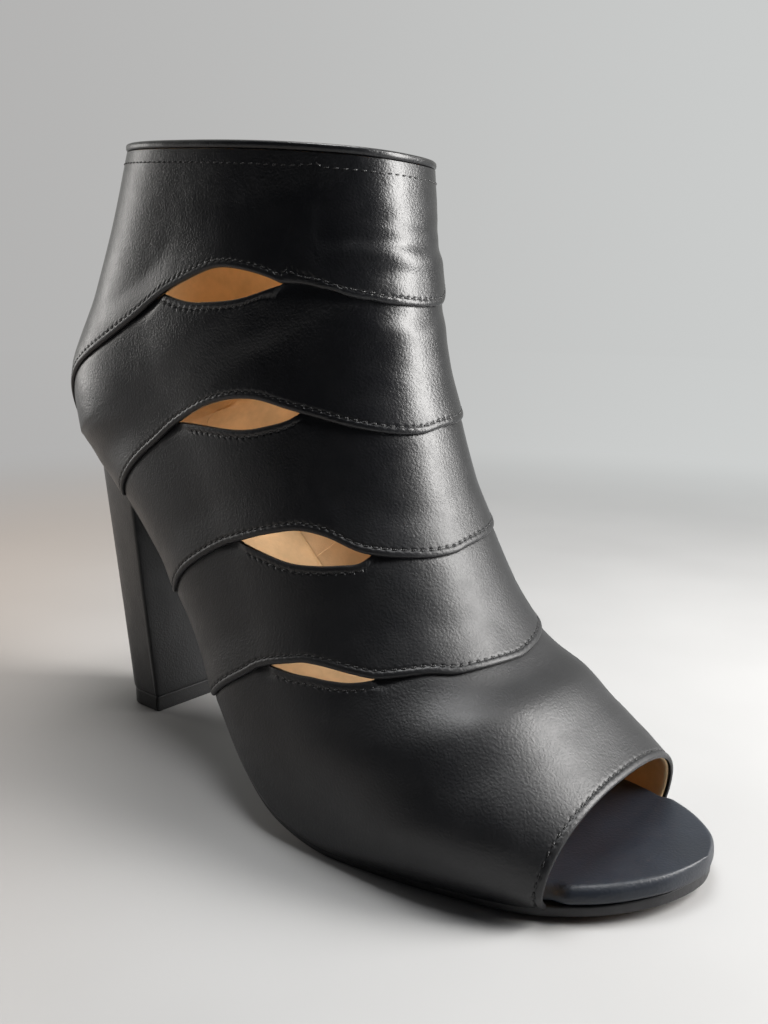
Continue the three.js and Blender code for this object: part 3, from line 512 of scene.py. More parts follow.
def loft_points(rings):
    """Vertices and faces of a closed solid through rings of equal length, with a fan at each end."""
    rings = np.asarray(rings)
    count, around = rings.shape[:2]
    vertices = np.concatenate([rings.reshape(-1, 3), rings[0].mean(0)[None], rings[-1].mean(0)[None]])
    here = np.arange(around)
    onward, tail = (here + 1) % around, (count - 1) * around
    low_fan = np.stack([0 * here + count * around, onward, here], -1)
    high_fan = np.stack([0 * here + count * around + 1, tail + here, tail + onward], -1)
    quads = grid_faces(count, around, close_columns=True)
    return vertices, quads.tolist() + low_fan.tolist() + high_fan.tolist()


def along_path(points, step):
    """Even steps along a polyline: positions as fractional indices."""
    length = run_along(points)
    count = int(length[-1] / step)
    return np.interp(step * (0.5 + np.arange(count)), length, np.arange(len(points)))


def sample(grid, index):
    """Linear sample of the rows of an array at fractional indices."""
    i = np.clip(np.floor(index).astype(int), 0, len(grid) - 2)
    f = (index - i)[:, None]
    return grid[i] * (1 - f) + grid[i + 1] * f


def stitch_shape():
    """One stitch: a thread of six-sided section along x that dives into the leather at both ends."""
    t = np.linspace(-1, 1, 7)
    angle = np.arange(STITCH_SIDES) * 2 * np.pi / STITCH_SIDES
    thick = np.sqrt(np.maximum(1 - t ** 4, 0.02))
    dive = -0.75 * np.abs(t) ** 3
    x = np.repeat(t[:, None], STITCH_SIDES, 1)
    y = thick[:, None] * np.cos(angle)
    z = dive[:, None] + thick[:, None] * np.sin(angle)
    return np.stack([x, y, z], -1)


def stitch_row(points, out):
    """Stitches at even steps along a row of points, each turned a little across the row."""
    at = along_path(points, STITCH_PITCH)
    here, normal = sample(points, at), unit(sample(out, at))
    ahead = unit(sample(points, np.minimum(at + 0.3, len(points) - 1)) -
                 sample(points, np.maximum(at - 0.3, 0)))
    across = unit(np.cross(normal, ahead))
    ahead = unit(ahead * math.cos(STITCH_TURN) + across * math.sin(STITCH_TURN))
    across = np.cross(normal, ahead)
    axes = np.stack([ahead, across, normal], 1)
    local = stitch_shape() * [STITCH_LENGTH / 2, THREAD_RADIUS, THREAD_RADIUS] + [0, 0, STITCH_LIFT]
    return here[:, None] + local.reshape(-1, 3) @ axes


def add_stitches(name, rows, material):
    """All stitches of a group as one mesh."""
    place = np.concatenate(rows)
    count, each = place.shape[:2]
    ring = grid_faces(each // STITCH_SIDES, STITCH_SIDES, close_columns=True)
    around = np.arange(STITCH_SIDES)
    first = np.arange(count)[:, None, None] * each
    faces = (ring + first).reshape(-1, 4).tolist()
    for end in (around[::-1], each - STITCH_SIDES + around):
        faces += (end + first[:, 0]).tolist()
    add_piece(name, place.reshape(-1, 3), faces, material, "upper_leather")


# ---- materials ----


class Nodes:
    """Small helper that adds nodes to a node tree and links them."""

    def __init__(self, tree):
        self.tree = tree

    def node(self, kind, inputs=None, **settings):
        node = self.tree.nodes.new(kind)
        for key, value in settings.items():
            setattr(node, key, value)
        for key, value in (inputs or {}).items():
            self.put(node, key, value)
        return node

    def put(self, node, key, value):
        if isinstance(value, bpy.types.NodeSocket):
            self.tree.links.new(value, node.inputs[key])
        else:
            node.inputs[key].default_value = value

    def math(self, operation, a, b=0.0):
        return self.node("ShaderNodeMath", {0: a, 1: b}, operation=operation).outputs[0]

    def dot(self, a, b):
        return self.node("ShaderNodeVectorMath", {0: a, 1: b}, operation="DOT_PRODUCT").outputs["Value"]

    def ramp(self, value, low, high, out_low=0.0, out_high=1.0):
        inputs = {"Value": value, "From Min": low, "From Max": high, "To Min": out_low, "To Max": out_high}
        return self.node("ShaderNodeMapRange", inputs, interpolation_type="SMOOTHSTEP").outputs[0]

    def mix(self, share, a, b):
        return self.node("ShaderNodeMix", {0: share, 6: a, 7: b}, data_type="RGBA").outputs[2]


class Shader(Nodes):
    """A material with one Principled shader."""

    def __init__(self, name):
        self.material = bpy.data.materials.new(name)
        self.material.use_nodes = True
        super().__init__(self.material.node_tree)
        self.bsdf = self.tree.nodes["Principled BSDF"]
        self.place = self.node("ShaderNodeTexCoord").outputs["Object"]

    def noise(self, scale, detail=2.0, rough=0.5):
        inputs = {"Vector": self.place, "Scale": scale, "Detail": detail, "Roughness": rough}
        return self.node("ShaderNodeTexNoise", inputs).outputs["Fac"]

    def ribs(self, scale, distortion, way):
        inputs = {"Vector": self.place, "Scale": scale, "Distortion": distortion}
        return self.node("ShaderNodeTexWave", inputs, bands_direction=way).outputs["Fac"]

    def bump(self, height, distance, strength=1.0, normal=None):
        inputs = {"Height": height, "Distance": distance, "Strength": strength}
        if normal is not None:
            inputs["Normal"] = normal
        return self.node("ShaderNodeBump", inputs).outputs[0]

    def set(self, **values):
        for key, value in values.items():
            self.put(self.bsdf, key.replace("_", " "), value)
        return self.material


def rgba(colour, share=1.0):
    return (colour[0] * share, colour[1] * share, colour[2] * share, 1.0)


def grain_normal(shader, cell, depth, normal=None):
    """Leather grain: soft cells, bent a little, with fine noise between them."""
    inputs = {"Vector": shader.place, "Scale": 420.0, "Detail": 1.0}
    warp = shader.node("ShaderNodeTexNoise", inputs).outputs["Color"]
    bent = shader.node("ShaderNodeMix", {0: 0.0012, 4: shader.place, 5: warp}, data_type="VECTOR").outputs[1]
    cells = shader.node("ShaderNodeTexVoronoi", {"Vector": bent, "Scale": 1 / cell}, feature="SMOOTH_F1")
    fine = shader.noise(2.6 / cell, 3.0, 0.6)
    height = shader.math("ADD", shader.math("MULTIPLY", cells.outputs["Distance"], 0.7),
                         shader.math("MULTIPLY", fine, 0.22))
    return shader.bump(height, depth, 1.0, normal)


def stitched(shader, layer, colour, normal):
    """Needle holes and the pucker between them along a stitch row, from the panel's own edge
    coordinates: millimetres along the edge and away from it. The holes are also painted darker, as shade in
    them."""
    uv = shader.node("ShaderNodeUVMap", uv_map=layer).outputs[0]
    along, away = shader.node("ShaderNodeSeparateXYZ", {0: uv}).outputs[:2]
    off = shader.math("ABSOLUTE", shader.math("SUBTRACT", away, EDGE_STEPS[STITCH_STEP] / MM))
    phase = shader.math("FRACT", shader.math("DIVIDE", along, STITCH_PITCH / MM))
    hole = shader.math("ABSOLUTE", shader.math("SUBTRACT", phase, 0.5))
    holes = shader.math("MULTIPLY", shader.ramp(hole, 0.36, 0.49), shader.ramp(off, 0.55, 0.12))
    pucker = shader.math("MULTIPLY", shader.ramp(hole, 0.5, 0.1), shader.ramp(off, 1.5, 0.3))
    height = shader.math("SUBTRACT", shader.math("MULTIPLY", pucker, 0.35), holes)
    # painted shade: the needle holes are darkened towards black, as shade in them
    colour = shader.mix(shader.math("MULTIPLY", holes, 0.9), colour, (0.002, 0.002, 0.002, 1))
    return colour, shader.bump(height, 0.22 * MM, 1.0, normal)


def leather_material(name, looks, colour, stitch_layers=()):
    """Smooth dyed leather: grain, soft unevenness, slight changes of gloss, and a thin finish that is
    worn duller towards the toe."""
    shader = Shader(name)
    tone = shader.mix(shader.ramp(shader.noise(55.0, 3.0, 0.55), 0.35, 0.7), rgba(colour), rgba(colour, 1.3))
    uneven = shader.bump(shader.noise(80.0), 0.3 * MM, 0.35)
    normal = grain_normal(shader, looks.grain_size, looks.grain_depth, uneven)
    for layer in stitch_layers:
        tone, normal = stitched(shader, layer, tone, normal)
    rough = shader.ramp(shader.noise(160.0, 4.0, 0.65), 0.3, 0.75, looks.gloss - 0.03, looks.gloss + 0.05)
    height = shader.node("ShaderNodeSeparateXYZ", {0: shader.place}).outputs[2]
    rough = shader.math("ADD", rough, shader.ramp(height, 0.125, 0.06, 0.0, looks.worn_matte))
    return shader.set(Base_Color=tone, Roughness=rough, Normal=normal, Coat_Weight=0.12, Coat_Roughness=0.3)


def lining_material(looks):
    """Tan lining leather: pores and a little soiling."""
    shader = Shader("tan_lining")
    light, dark = rgba(looks.lining_colour), rgba(looks.lining_colour, 0.72)
    tone = shader.mix(shader.ramp(shader.noise(70.0, 4.0, 0.6), 0.3, 0.75), dark, light)
    pores = shader.ramp(shader.noise(1900.0), 0.6, 0.75)
    tone = shader.mix(shader.math("MULTIPLY", pores, 0.25), tone, dark)
    return shader.set(Base_Color=tone, Roughness=0.6, Normal=grain_normal(shader, 0.6 * MM, 0.05 * MM))


def thread_material():
    """Waxed black thread with its twist as slanting ridges."""
    shader = Shader("thread")
    normal = shader.bump(shader.ribs(900.0, 1.0, "DIAGONAL"), 0.06 * MM)
    return shader.set(Base_Color=(0.012, 0.012, 0.013, 1), Roughness=0.42, Normal=normal)


def sole_material(looks):
    """Sole: black painted edge, and below a brown face with long scuffs."""
    shader = Shader("sole_material")
    facing = shader.node("ShaderNodeSeparateXYZ", {0: shader.node("ShaderNodeNewGeometry").outputs["Normal"]})
    below = shader.ramp(facing.outputs[2], -0.75, -0.93)
    stretched = shader.node("ShaderNodeMapping", {"Vector": shader.place, "Scale": (60, 500, 200)})
    inputs = {"Vector": stretched.outputs[0], "Scale": 1.0, "Detail": 5.0, "Roughness": 0.7}
    scuff = shader.node("ShaderNodeTexNoise", inputs).outputs["Fac"]
    brown = shader.mix(shader.ramp(scuff, 0.35, 0.7), rgba(looks.sole_colour), rgba(looks.sole_colour, 0.55))
    tone = shader.mix(below, (0.014, 0.014, 0.016, 1), brown)
    normal = shader.bump(shader.noise(1500.0, 3.0, 0.6), 0.08 * MM)
    return shader.set(Base_Color=tone, Roughness=shader.ramp(scuff, 0.2, 0.8, 0.42, 0.62), Normal=normal)


def rubber_material():
    """Top lift: dull black rubber with a little grit."""
    shader = Shader("lift_rubber_material")
    grit = shader.noise(2200.0, 3.0, 0.6)
    tone = shader.mix(shader.ramp(grit, 0.45, 0.75), (0.012, 0.012, 0.013, 1), (0.03, 0.03, 0.03, 1))
    return shader.set(Base_Color=tone, Roughness=0.62, Normal=shader.bump(grit, 0.06 * MM))


def tape_material():
    """Zip tape: ribs of a tight twill."""
    shader = Shader("tape_material")
    normal = shader.bump(shader.ribs(1100.0, 0.6, "Z"), 0.1 * MM)
    return shader.set(Base_Color=(0.012, 0.012, 0.014, 1), Roughness=0.85, Normal=normal)


def metal_material(name, colour, rough):
    """Plated metal with fine wipe marks."""
    shader = Shader(name)
    rough = shader.ramp(shader.noise(900.0, 4.0, 0.6), 0.3, 0.8, rough, rough + 0.14)
    normal = shader.bump(shader.noise(500.0), 0.03 * MM)
    return shader.set(Base_Color=colour, Metallic=1.0, Roughness=rough, Normal=normal)


# ---- sizes and colours that a user may change ----


def length_prop(name, default, description):
    return bpy.props.FloatProperty(
        name=name, description=description, default=default, min=0.0, unit="LENGTH", precision=5)


def colour_prop(name, default, description):
    return bpy.props.FloatVectorProperty(
        name=name, description=description, default=default, subtype="COLOR", size=3, min=0, max=1)


def share_prop(name, default, description):
    return bpy.props.FloatProperty(name=name, description=description, default=default, min=0, max=1)


class BOOT_PG_sizes(bpy.types.PropertyGroup):
    """Sizes of the last and of the pieces on it."""

    shoe_length: length_prop("Length", 221 * MM, "Back of the seat to the tip of the footbed")
    ball_width: length_prop("Ball width", 82 * MM, "Width from which the sole's outline takes its shares")
    seat_width: length_prop("Seat width", 51 * MM, "Width of the heel seat")
    shaft_width: length_prop("Shaft width", 64 * MM, "Outside width at the collar")
    collar_height: length_prop("Collar height", 187 * MM, "Floor to the upper's top edge at the back")
    seat_height: length_prop("Seat height", 93.3 * MM, "Floor to the upper's lower edge at the back")
    toe_spring: length_prop("Toe spring", 3.2 * MM, "Rise of the sole from the ball to the tip")
    outsole_thickness: length_prop("Outsole", 2.4 * MM, "Thickness of the outsole")
    footbed_thickness: length_prop("Footbed", 4.8 * MM, "Thickness of the footbed")
    gap: length_prop("Gap", 0.35 * MM, "Clearance between the packed solids")
    wall: length_prop("Wall", 2.2 * MM, "Thickness of the packed upper")
    lap: length_prop("Lap", 0.9 * MM, "How far a panel's edge stands over the next panel")
    slit_height: length_prop("Slit height", 10 * MM, "Widest opening of a full slit")
    leather_thickness: length_prop("Leather", 1.2 * MM, "Thickness of the upper's leather")
    fold_radius: length_prop("Fold radius", 0.55 * MM, "Roundness of the folded edges")
    breast_at_top: length_prop("Breast at top", 34.5 * MM, "Heel's front face below the seat")
    breast_at_floor: length_prop("Breast at floor", 32 * MM, "Heel's front face at the floor")
    heel_inset: length_prop("Heel inset", 2.2 * MM, "Heel's top inside the upper's outline")
    heel_foot_depth: length_prop("Heel foot depth", 20.5 * MM, "Heel on the floor, front to back")
    heel_foot_width: length_prop("Heel foot width", 28 * MM, "Heel on the floor, side to side")
    lift_thickness: length_prop("Top lift", 5.5 * MM, "Thickness of the heel's top piece")
    binding_width: length_prop("Binding width", 3.0 * MM, "Rolled binding, inside to outside")
    binding_height: length_prop("Binding height", 2.4 * MM, "Rolled binding, bottom to top")
    zip_length: length_prop("Zip length", 72 * MM, "Length of the back zip")
    heel_foot_shift: bpy.props.FloatProperty(
        name="Heel foot shift", description="Heel's foot towards the inner side", default=-1.5 * MM,
        unit="LENGTH", precision=5)
    crown: bpy.props.FloatProperty(
        name="Crown", description="How square the front of a section is, 2 is an ellipse", default=2.35)


class BOOT_PG_looks(bpy.types.PropertyGroup):
    """Colours and finish."""

    leather_colour: colour_prop("Leather", (0.005, 0.0053, 0.0066), "Colour of the upper's leather")
    footbed_colour: colour_prop("Footbed", (0.0075, 0.0115, 0.0195), "Colour of the footbed's leather")
    lining_colour: colour_prop("Lining", (0.82, 0.56, 0.30), "Colour of the lining")
    sole_colour: colour_prop("Sole", (0.16, 0.09, 0.05), "Colour of the sole's underside")
    nickel_colour: colour_prop("Nickel", (0.48, 0.465, 0.44), "Colour of the slider and pull tab")
    grain_size: length_prop("Grain", 0.62 * MM, "Size of the leather's grain")
    grain_depth: length_prop("Grain depth", 0.1 * MM, "Depth of the leather's grain")
    gloss: share_prop("Roughness", 0.31, "Roughness of the leather's finish")
    worn_matte: share_prop("Worn matte", 0.16, "Roughness added by wear towards the toe")


def boot_last(context):
    return Last(context.scene.boot_sizes)


def edge_coordinates(panel, outer):
    """Edge coordinates of each grid point in millimetres: along the edge, and away from it. Where the
    upper edge has no slit, its coordinates are far from every stitch."""
    result = {}
    for layer, row, off in (("edge", -1, panel.low), ("rim", 0, panel.top + (1 - panel.slit_top) * 50 * MM)):
        pair = np.stack([np.broadcast_to(run_along(outer[row]), off.shape), off], -1) / MM
        result[layer] = np.concatenate([pair.reshape(-1, 2)] * 2)
    return result


class BOOT_OT_panels(bpy.types.Operator):
    """The five stitched leather panels of the upper, each a closed layer with folded edges"""

    bl_idname = "boot.make_panels"
    bl_label = "Leather panels"

    def execute(self, context):
        last, looks = boot_last(context), context.scene.boot_looks
        leather = leather_material("upper_leather_material", looks, looks.leather_colour, ("edge", "rim"))
        stitches = []
        for number, name in enumerate(PANEL_NAMES):
            panel = Panel(last, number)
            outer, inner = panel.mesh_points()
            add_piece(name, *both_skins(outer, inner), leather, "upper_leather", "upper",
                      edge_coordinates(panel, outer))
            front, slit = panel.columns - 1, PARTS[1]
            rows = [(-1 - STITCH_STEP, slice(None))]
            if number == 0:
                rows.append((COLLAR_STEP, slice(None)))
            else:
                for first in (front - PARTS[0] - slit, front + PARTS[0]):
                    rows.append((STITCH_STEP, slice(first + 1, first + slit)))
            stitches += [stitch_row(outer[row][part], panel.out[row][part]) for row, part in rows]
        add_stitches("upper_stitches", stitches, thread_material())
        return {"FINISHED"}


class BOOT_OT_lining(bpy.types.Operator):
    """Tan lining inside each panel, set back a little from the slits"""

    bl_idname = "boot.make_lining"
    bl_label = "Lining"

    def execute(self, context):
        last, looks = boot_last(context), context.scene.boot_looks
        depth = last.z.leather_thickness
        edge = np.array([0.7, 1.0, 1.6, 2.6, 4.5, 7.5]) * MM
        places, faces, start = [], [], 0
        for number in range(len(PANEL_NAMES)):
            panel = Panel(last, number, (16, 26, 24), edge, 12)
            soft = np.minimum(panel.low, panel.top + (1 - panel.slit_top) * 9 * MM)
            thin = 0.8 * MM * np.sqrt(np.clip((soft - 0.6 * MM) / (0.7 * MM), 0.08, 1))
            outer_at = np.minimum(panel.outer_skin() * 0.35 - 0.02 * MM, 0) - depth
            outer = panel.base + panel.out * outer_at[..., None]
            inner = panel.base + panel.out * (outer_at - thin)[..., None]
            place, quads = both_skins(outer, inner)
            places.append(place)
            faces.append(quads + start)
            start += len(place)
        add_piece("lining", np.concatenate(places), np.concatenate(faces), lining_material(looks),
                  "upper_leather")
        return {"FINISHED"}


def square_round(angle, full, wide, high):
    """Points of a superellipse by angle: half width times cos and half height times sin, each to the
    power 2 / full."""
    c, s = np.cos(angle), np.sin(angle)
    return (np.sign(c) * np.abs(c) ** (2 / full) * wide / 2, np.sign(s) * np.abs(s) ** (2 / full) * high / 2)


class BOOT_OT_binding(bpy.types.Operator):
    """Rolled binding round the collar"""

    bl_idname = "boot.make_binding"
    bl_label = "Collar binding"

    def execute(self, context):
        last, looks = boot_last(context), context.scene.boot_looks
        z, steps, around = last.z, 120, 20
        ways = np.linspace(0, 1, steps + 1)
        v = np.concatenate([ways[:-1], ways[:0:-1]])
        side = np.repeat([-1.0, 1.0], steps)
        rim, level = last.point(0, v, side), unit(last.normal(0 * v, v, side) * [1, 1, 0])
        middle = rim - level * z.wall / 2 + np.array([0, 0, z.binding_height / 2 + 0.1 * MM])
        angle = np.linspace(0, 2 * np.pi, around, endpoint=False)
        across, up = square_round(angle, 2.6, z.binding_width, z.binding_height)
        ripple = 1 + 0.02 * np.sin(np.arange(2 * steps) * 2 * np.pi / 6)
        rings = middle[:, None] + level[:, None] * across[None, :, None] * ripple[:, None, None]
        rings = rings + np.array([0, 0, 1.0]) * up[None, :, None]
        leather = leather_material("binding_leather_material", looks, looks.leather_colour)
        add_piece("collar_bead", rings.reshape(-1, 3), grid_faces(2 * steps, around, True, True), leather,
                  "upper_leather", "collar_binding")
        return {"FINISHED"}


def plate_rings(last, stations, inset, bottom, top, profile):
    """Rings of a plate that follows the lower edge's height field: each is the plan's width at a station,
    with the given edge profile of inward and upward shares on both sides."""
    x, half, centre, _, _ = last.outline(stations)
    step, tip = 0.02, OUTLINE.shape[1] - 1
    ahead = last.outline(np.minimum(stations + step, tip))
    behind = last.outline(np.maximum(stations - step, 0))
    run, spread = ahead[0] - behind[0], ahead[1] - behind[1]
    size = np.hypot(run, spread)
    x_in = x + inset * spread / size
    half_in = np.maximum(half - inset * run / size, 0.0004)
    inward, upward = profile
    corner = np.minimum(1.0, half_in * 0.9 / max(inward.max(), 1e-9))
    reach = half_in[:, None] - inward[None] * corner[:, None]
    flat = np.linspace(-1, 1, 17)[1:-1]
    y_low, y_high = reach[:, :1] * flat, reach[:, -1:] * -flat
    y = np.concatenate([y_low, reach, y_high, -reach[:, ::-1]], 1)
    height = np.concatenate([0 * flat, upward, 1 + 0 * flat, upward[::-1]])
    ys = centre[:, None] + y
    xs = np.broadcast_to(x_in[:, None], ys.shape)
    zs = last.edge_height(xs, ys) + bottom + (top - bottom) * height
    return np.stack([xs, ys, np.maximum(zs, 0)], -1) + last.shift


def half_round(radius_in, low_round, high_round, count=9):
    """Edge profile from bottom to top: how far it turns inwards, and shares of the height."""
    a = np.linspace(0, np.pi / 2, count)
    low_in, low_up = radius_in * (1 - np.sin(a)), low_round * (1 - np.cos(a))
    high_in, high_up = radius_in * (1 - np.cos(a)), 1 - high_round * (1 - np.sin(a))
    return np.concatenate([low_in, high_in]), np.concatenate([low_up, high_up])


def sheet(last, stations, inset, height, thick, across=25):
    """Grid points of a thin sheet over the footbed, its top side and its under side."""
    x, half, centre, _, _ = last.outline(stations)
    reach = np.maximum(half - inset, 0.0005)
    ys = centre[:, None] + reach[:, None] * np.linspace(-1, 1, across)
    xs = np.broadcast_to(x[:, None], ys.shape)
    zs = last.edge_height(xs, ys) + height
    return np.stack([xs, ys, zs], -1) + last.shift, np.stack([xs, ys, zs - thick], -1) + last.shift


class BOOT_OT_sole(bpy.types.Operator):
    """Footbed with its rounded leather edge, the tan sock on it, and the outsole below"""

    bl_idname = "boot.make_sole"
    bl_label = "Footbed, sock and outsole"

    def execute(self, context):
        last, looks = boot_last(context), context.scene.boot_looks
        z = last.z
        stations = np.concatenate([np.linspace(0.12, 12.8, 150), np.linspace(12.85, 16.9, 110)])
        shown = smooth(stations, 13.37, 13.65)
        inset = 2.0 * MM * (1 - shown) + z.gap * shown
        rings = plate_rings(last, stations, inset, 0.0, z.footbed_thickness, half_round(3.2 * MM, 0.3, 0.68))
        leather = leather_material("footbed_leather_material", looks, looks.footbed_colour)
        add_piece("footbed_cover", *loft_points(rings), leather, "footbed_cover", "footbed")
        skins = sheet(last, np.linspace(0.25, 11.7, 140), 2.1 * MM, z.footbed_thickness + 0.45 * MM, 0.7 * MM)
        add_piece("sock", *both_skins(*skins), lining_material(looks), "footbed_cover")
        start = float(last.station(z.breast_at_top + z.gap))
        stations = np.concatenate([np.linspace(start, 13, 160), np.linspace(13.05, 16.93, 100)])
        edge = half_round(0.7 * MM, 0.18, 0.18, 5)
        rings = plate_rings(last, stations, 0.9 * MM, -last.sole_top, 0.0, edge)
        add_piece("sole", *loft_points(rings), sole_material(looks), "outsole_rubber", "outsole")
        return {"FINISHED"}


def heel_outlines(last, inset=0.0):
    """Foot and seat outlines of the heel at the same points: from the outer front corner round the back
    to the inner one, and over the breast, with small round corners."""
    z = last.z
    sides, back = 16, 48
    half_back = np.arange(back // 2 + 1) / (back // 2)
    shares = np.concatenate([1 - 0.45 * np.arange(sides) / sides, 0.55 * (1 - half_back)])
    x, half, centre, _, _ = last.outline(last.station(z.breast_at_top) * shares)
    reach = np.maximum(half - z.heel_inset, 0)
    x = np.maximum(x, z.heel_inset)
    outer = np.stack([x, centre - reach], -1)
    inner = np.stack([x, centre + reach], -1)[-2::-1]
    seat = np.concatenate([outer, inner])
    rear, front = z.breast_at_floor - z.heel_foot_depth + inset, z.breast_at_floor - inset
    width, bend = z.heel_foot_width / 2 - inset, z.heel_foot_depth * 0.48
    straight = front + (rear + bend - front) * np.arange(sides) / sides
    angle = np.linspace(0, np.pi, back + 1)
    arc = np.stack([rear + bend * (1 - np.sin(angle)), -width * np.cos(angle)], -1)
    foot = np.concatenate([
        np.stack([straight, 0 * straight - width], -1), arc,
        np.stack([straight[::-1], 0 * straight + width], -1)])
    foot[:, 1] += z.heel_foot_shift
    result = []
    for loop in (foot, seat):
        radius = 0.9 * MM
        corner_a, corner_b = loop[0], loop[-1]
        across = unit(corner_b - corner_a)
        side_a, side_b = unit(loop[2] - corner_a), unit(loop[-3] - corner_b)
        t = np.linspace(0, 1, 5)[:, None]

        def rounded(corner, one, two):
            p, q = corner + one * radius, corner + two * radius
            return p * (1 - t) ** 2 + 2 * corner * t * (1 - t) + q * t ** 2

        breast = corner_b + (corner_a - corner_b) * np.linspace(0.08, 0.92, 14)[:, None]
        result.append(np.concatenate([
            rounded(corner_a, across, side_a), loop[1:-1], rounded(corner_b, side_b, -across), breast]))
    return result


HEEL_TUCK = 0.016               # share of the heel's height over which its cover turns in at the foot


class BOOT_OT_heel(bpy.types.Operator):
    """Leather covered heel block and its top lift"""

    bl_idname = "boot.make_heel"
    bl_label = "Heel"

    def execute(self, context):
        last, looks = boot_last(context), context.scene.boot_looks
        z = last.z
        foot, seat = heel_outlines(last)
        leather = leather_material("heel_leather_material", looks, looks.leather_colour)
        share = np.concatenate([[0, 0.003, 0.008], np.linspace(HEEL_TUCK, 1, 46)])
        spread = 1 - (1 - share) ** 1.1
        plan = foot[None] + (seat - foot)[None] * spread[:, None, None]
        tuck = 0.022 * np.maximum(1 - share / HEEL_TUCK, 0) ** 2
        plan = plan + (plan.mean(1, keepdims=True) - plan) * tuck[:, None, None]
        low = z.lift_thickness + 0.1 * MM
        top = last.edge_height(seat[:, 0], seat[:, 1]) - 0.05 * MM
        height = low + (top[None] - low) * share[:, None]
        rings = np.concatenate([plan, height[..., None]], -1) + last.shift
        add_piece("heel_cover", *loft_points(rings), leather, "heel_cover", "heel_block")
        foot, _ = heel_outlines(last, 0.25 * MM)
        heights = np.array([0, 0.25, 0.6, 3, 5, 5.5]) / 5.5 * z.lift_thickness
        pull = np.array([0.03, 0.008, 0, 0, 0, 0])
        centre = foot.mean(0)
        rings = np.stack([np.concatenate([foot + (centre - foot) * p, np.full((len(foot), 1), h)], 1)
                          for h, p in zip(heights, pull)]) + last.shift
        add_piece("top_lift", *loft_points(rings), rubber_material(), "lift_rubber", "heel_top_lift")
        return {"FINISHED"}


ZIP_DROP = 3.0 * MM             # zip's top below the collar
TOOTH_PITCH = 1.6 * MM
TOOTH_LENGTH = 0.68 * MM
# Cross sections on one side of the back seam, in millimetres sideways and outward.
TAPE_PROFILE = np.array([[0.12, 0.2], [3.5, 0.2], [3.6, 0.45], [3.4, 0.8], [1.6, 0.95], [0.12, 0.95]]) * MM
FOLD_PROFILE = np.array([
    [3.0, 0.1], [5.4, -0.1], [5.3, 0.3], [4.7, 0.85], [3.9, 1.2], [3.2, 1.05], [2.9, 0.6]]) * MM
TOOTH_PROFILE = np.array([
    [1.75, 0.85], [1.75, 1.35], [1.35, 1.72], [-0.2, 1.72], [-0.5, 1.4], [-0.5, 0.85]]) * MM


def back_seam(last, drops):
    """Points of the back seam at lengths below the collar, and the directions out of it."""
    rows = np.linspace(0, SEAT_ROW, 801)
    row = np.interp(drops, run_along(last.point(rows, 1.0, 1)), rows)
    return last.point(row, 1.0, 1), last.normal(row, 1.0 + 0 * row, 1)


def on_seam(last, drops, profile, side):
    """Rings of a profile of sideways and outward lengths at places on the back seam."""
    at, out = back_seam(last, drops)
    across = np.array([0, side, 0.0])
    return at[:, None] + across * profile[None, :, :1] + out[:, None] * profile[None, :, 1:]


def zip_blocks(last, starts, long, profile, side):
    """Rings at both ends of small blocks of one profile that start at places on the seam."""
    rings = on_seam(last, (starts[:, None] + [0, long]).ravel(), profile, side)
    return rings.reshape(len(starts), 2, len(profile), 3)[:, :, ::side]


def add_blocks(name, groups, material):
    """Small closed blocks as one mesh, each with its two end rings."""
    place = np.concatenate(groups)
    count, _, n, _ = place.shape
    block = grid_faces(2, n, close_columns=True).tolist() + [list(range(n))[::-1], list(range(n, 2 * n))]
    faces = [[corner + k * 2 * n for corner in face] for k in range(count) for face in block]
    add_piece(name, place.reshape(-1, 3), faces, material, "nickel")


class BOOT_OT_zip(bpy.types.Operator):
    """Back zip: two tapes between folded leather edges, teeth, stops, and the finish of slider and tab"""

    bl_idname = "boot.make_zip"
    bl_label = "Back zip"

    def execute(self, context):
        last, looks = boot_last(context), context.scene.boot_looks
        z = last.z
        nickel = metal_material("nickel_material", rgba(looks.nickel_colour), 0.2)
        gunmetal = metal_material("teeth_material", rgba(looks.nickel_colour, 0.25), 0.3)
        tape = tape_material()
        edge = leather_material("zip_edge_leather", looks, looks.leather_colour)
        along_tape = ZIP_DROP + np.linspace(0, z.zip_length, 61)
        along_fold = np.linspace(0.5 * MM, ZIP_DROP + z.zip_length + 1.5 * MM, 71)
        teeth = np.arange(int(z.zip_length / TOOTH_PITCH) - 2) * TOOTH_PITCH + ZIP_DROP + 2.6 * MM
        for side, name, node in ((-1, "outer", "zip"), (1, "inner", None)):
            rings = on_seam(last, along_tape, TAPE_PROFILE, side)
            add_piece("zip_tape_" + name, *loft_points(rings), tape, "zip_tape", node)
            rings = on_seam(last, along_fold, FOLD_PROFILE, side)
            add_piece("zip_fold_" + name, *loft_points(rings), edge, "upper_leather")
        for side, name, shift in ((-1, "outer", 0), (1, "inner", TOOTH_PITCH / 2)):
            blocks = zip_blocks(last, teeth + shift, TOOTH_LENGTH, TOOTH_PROFILE, side)
            add_blocks("zip_teeth_" + name, [blocks], gunmetal)
        stop = TOOTH_PROFILE * [1.1, 1.05] + [0.9 * MM, 0]
        top = np.array([ZIP_DROP + 0.6 * MM])
        add_blocks("zip_top_stops", [zip_blocks(last, top, 1.5 * MM, stop, side) for side in (-1, 1)], nickel)
        stop = TOOTH_PROFILE * [2.2, 1.05] - [1.2 * MM, 0]
        low = top + z.zip_length - 2.6 * MM
        add_blocks("zip_bottom_stop", [zip_blocks(last, low, 2.2 * MM, stop, 1)], nickel)
        for name in ("zip_slider", "zip_pull_tab"):
            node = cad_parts[name]
            node.data.materials.clear()
            node.data.materials.append(nickel)
        return {"FINISHED"}


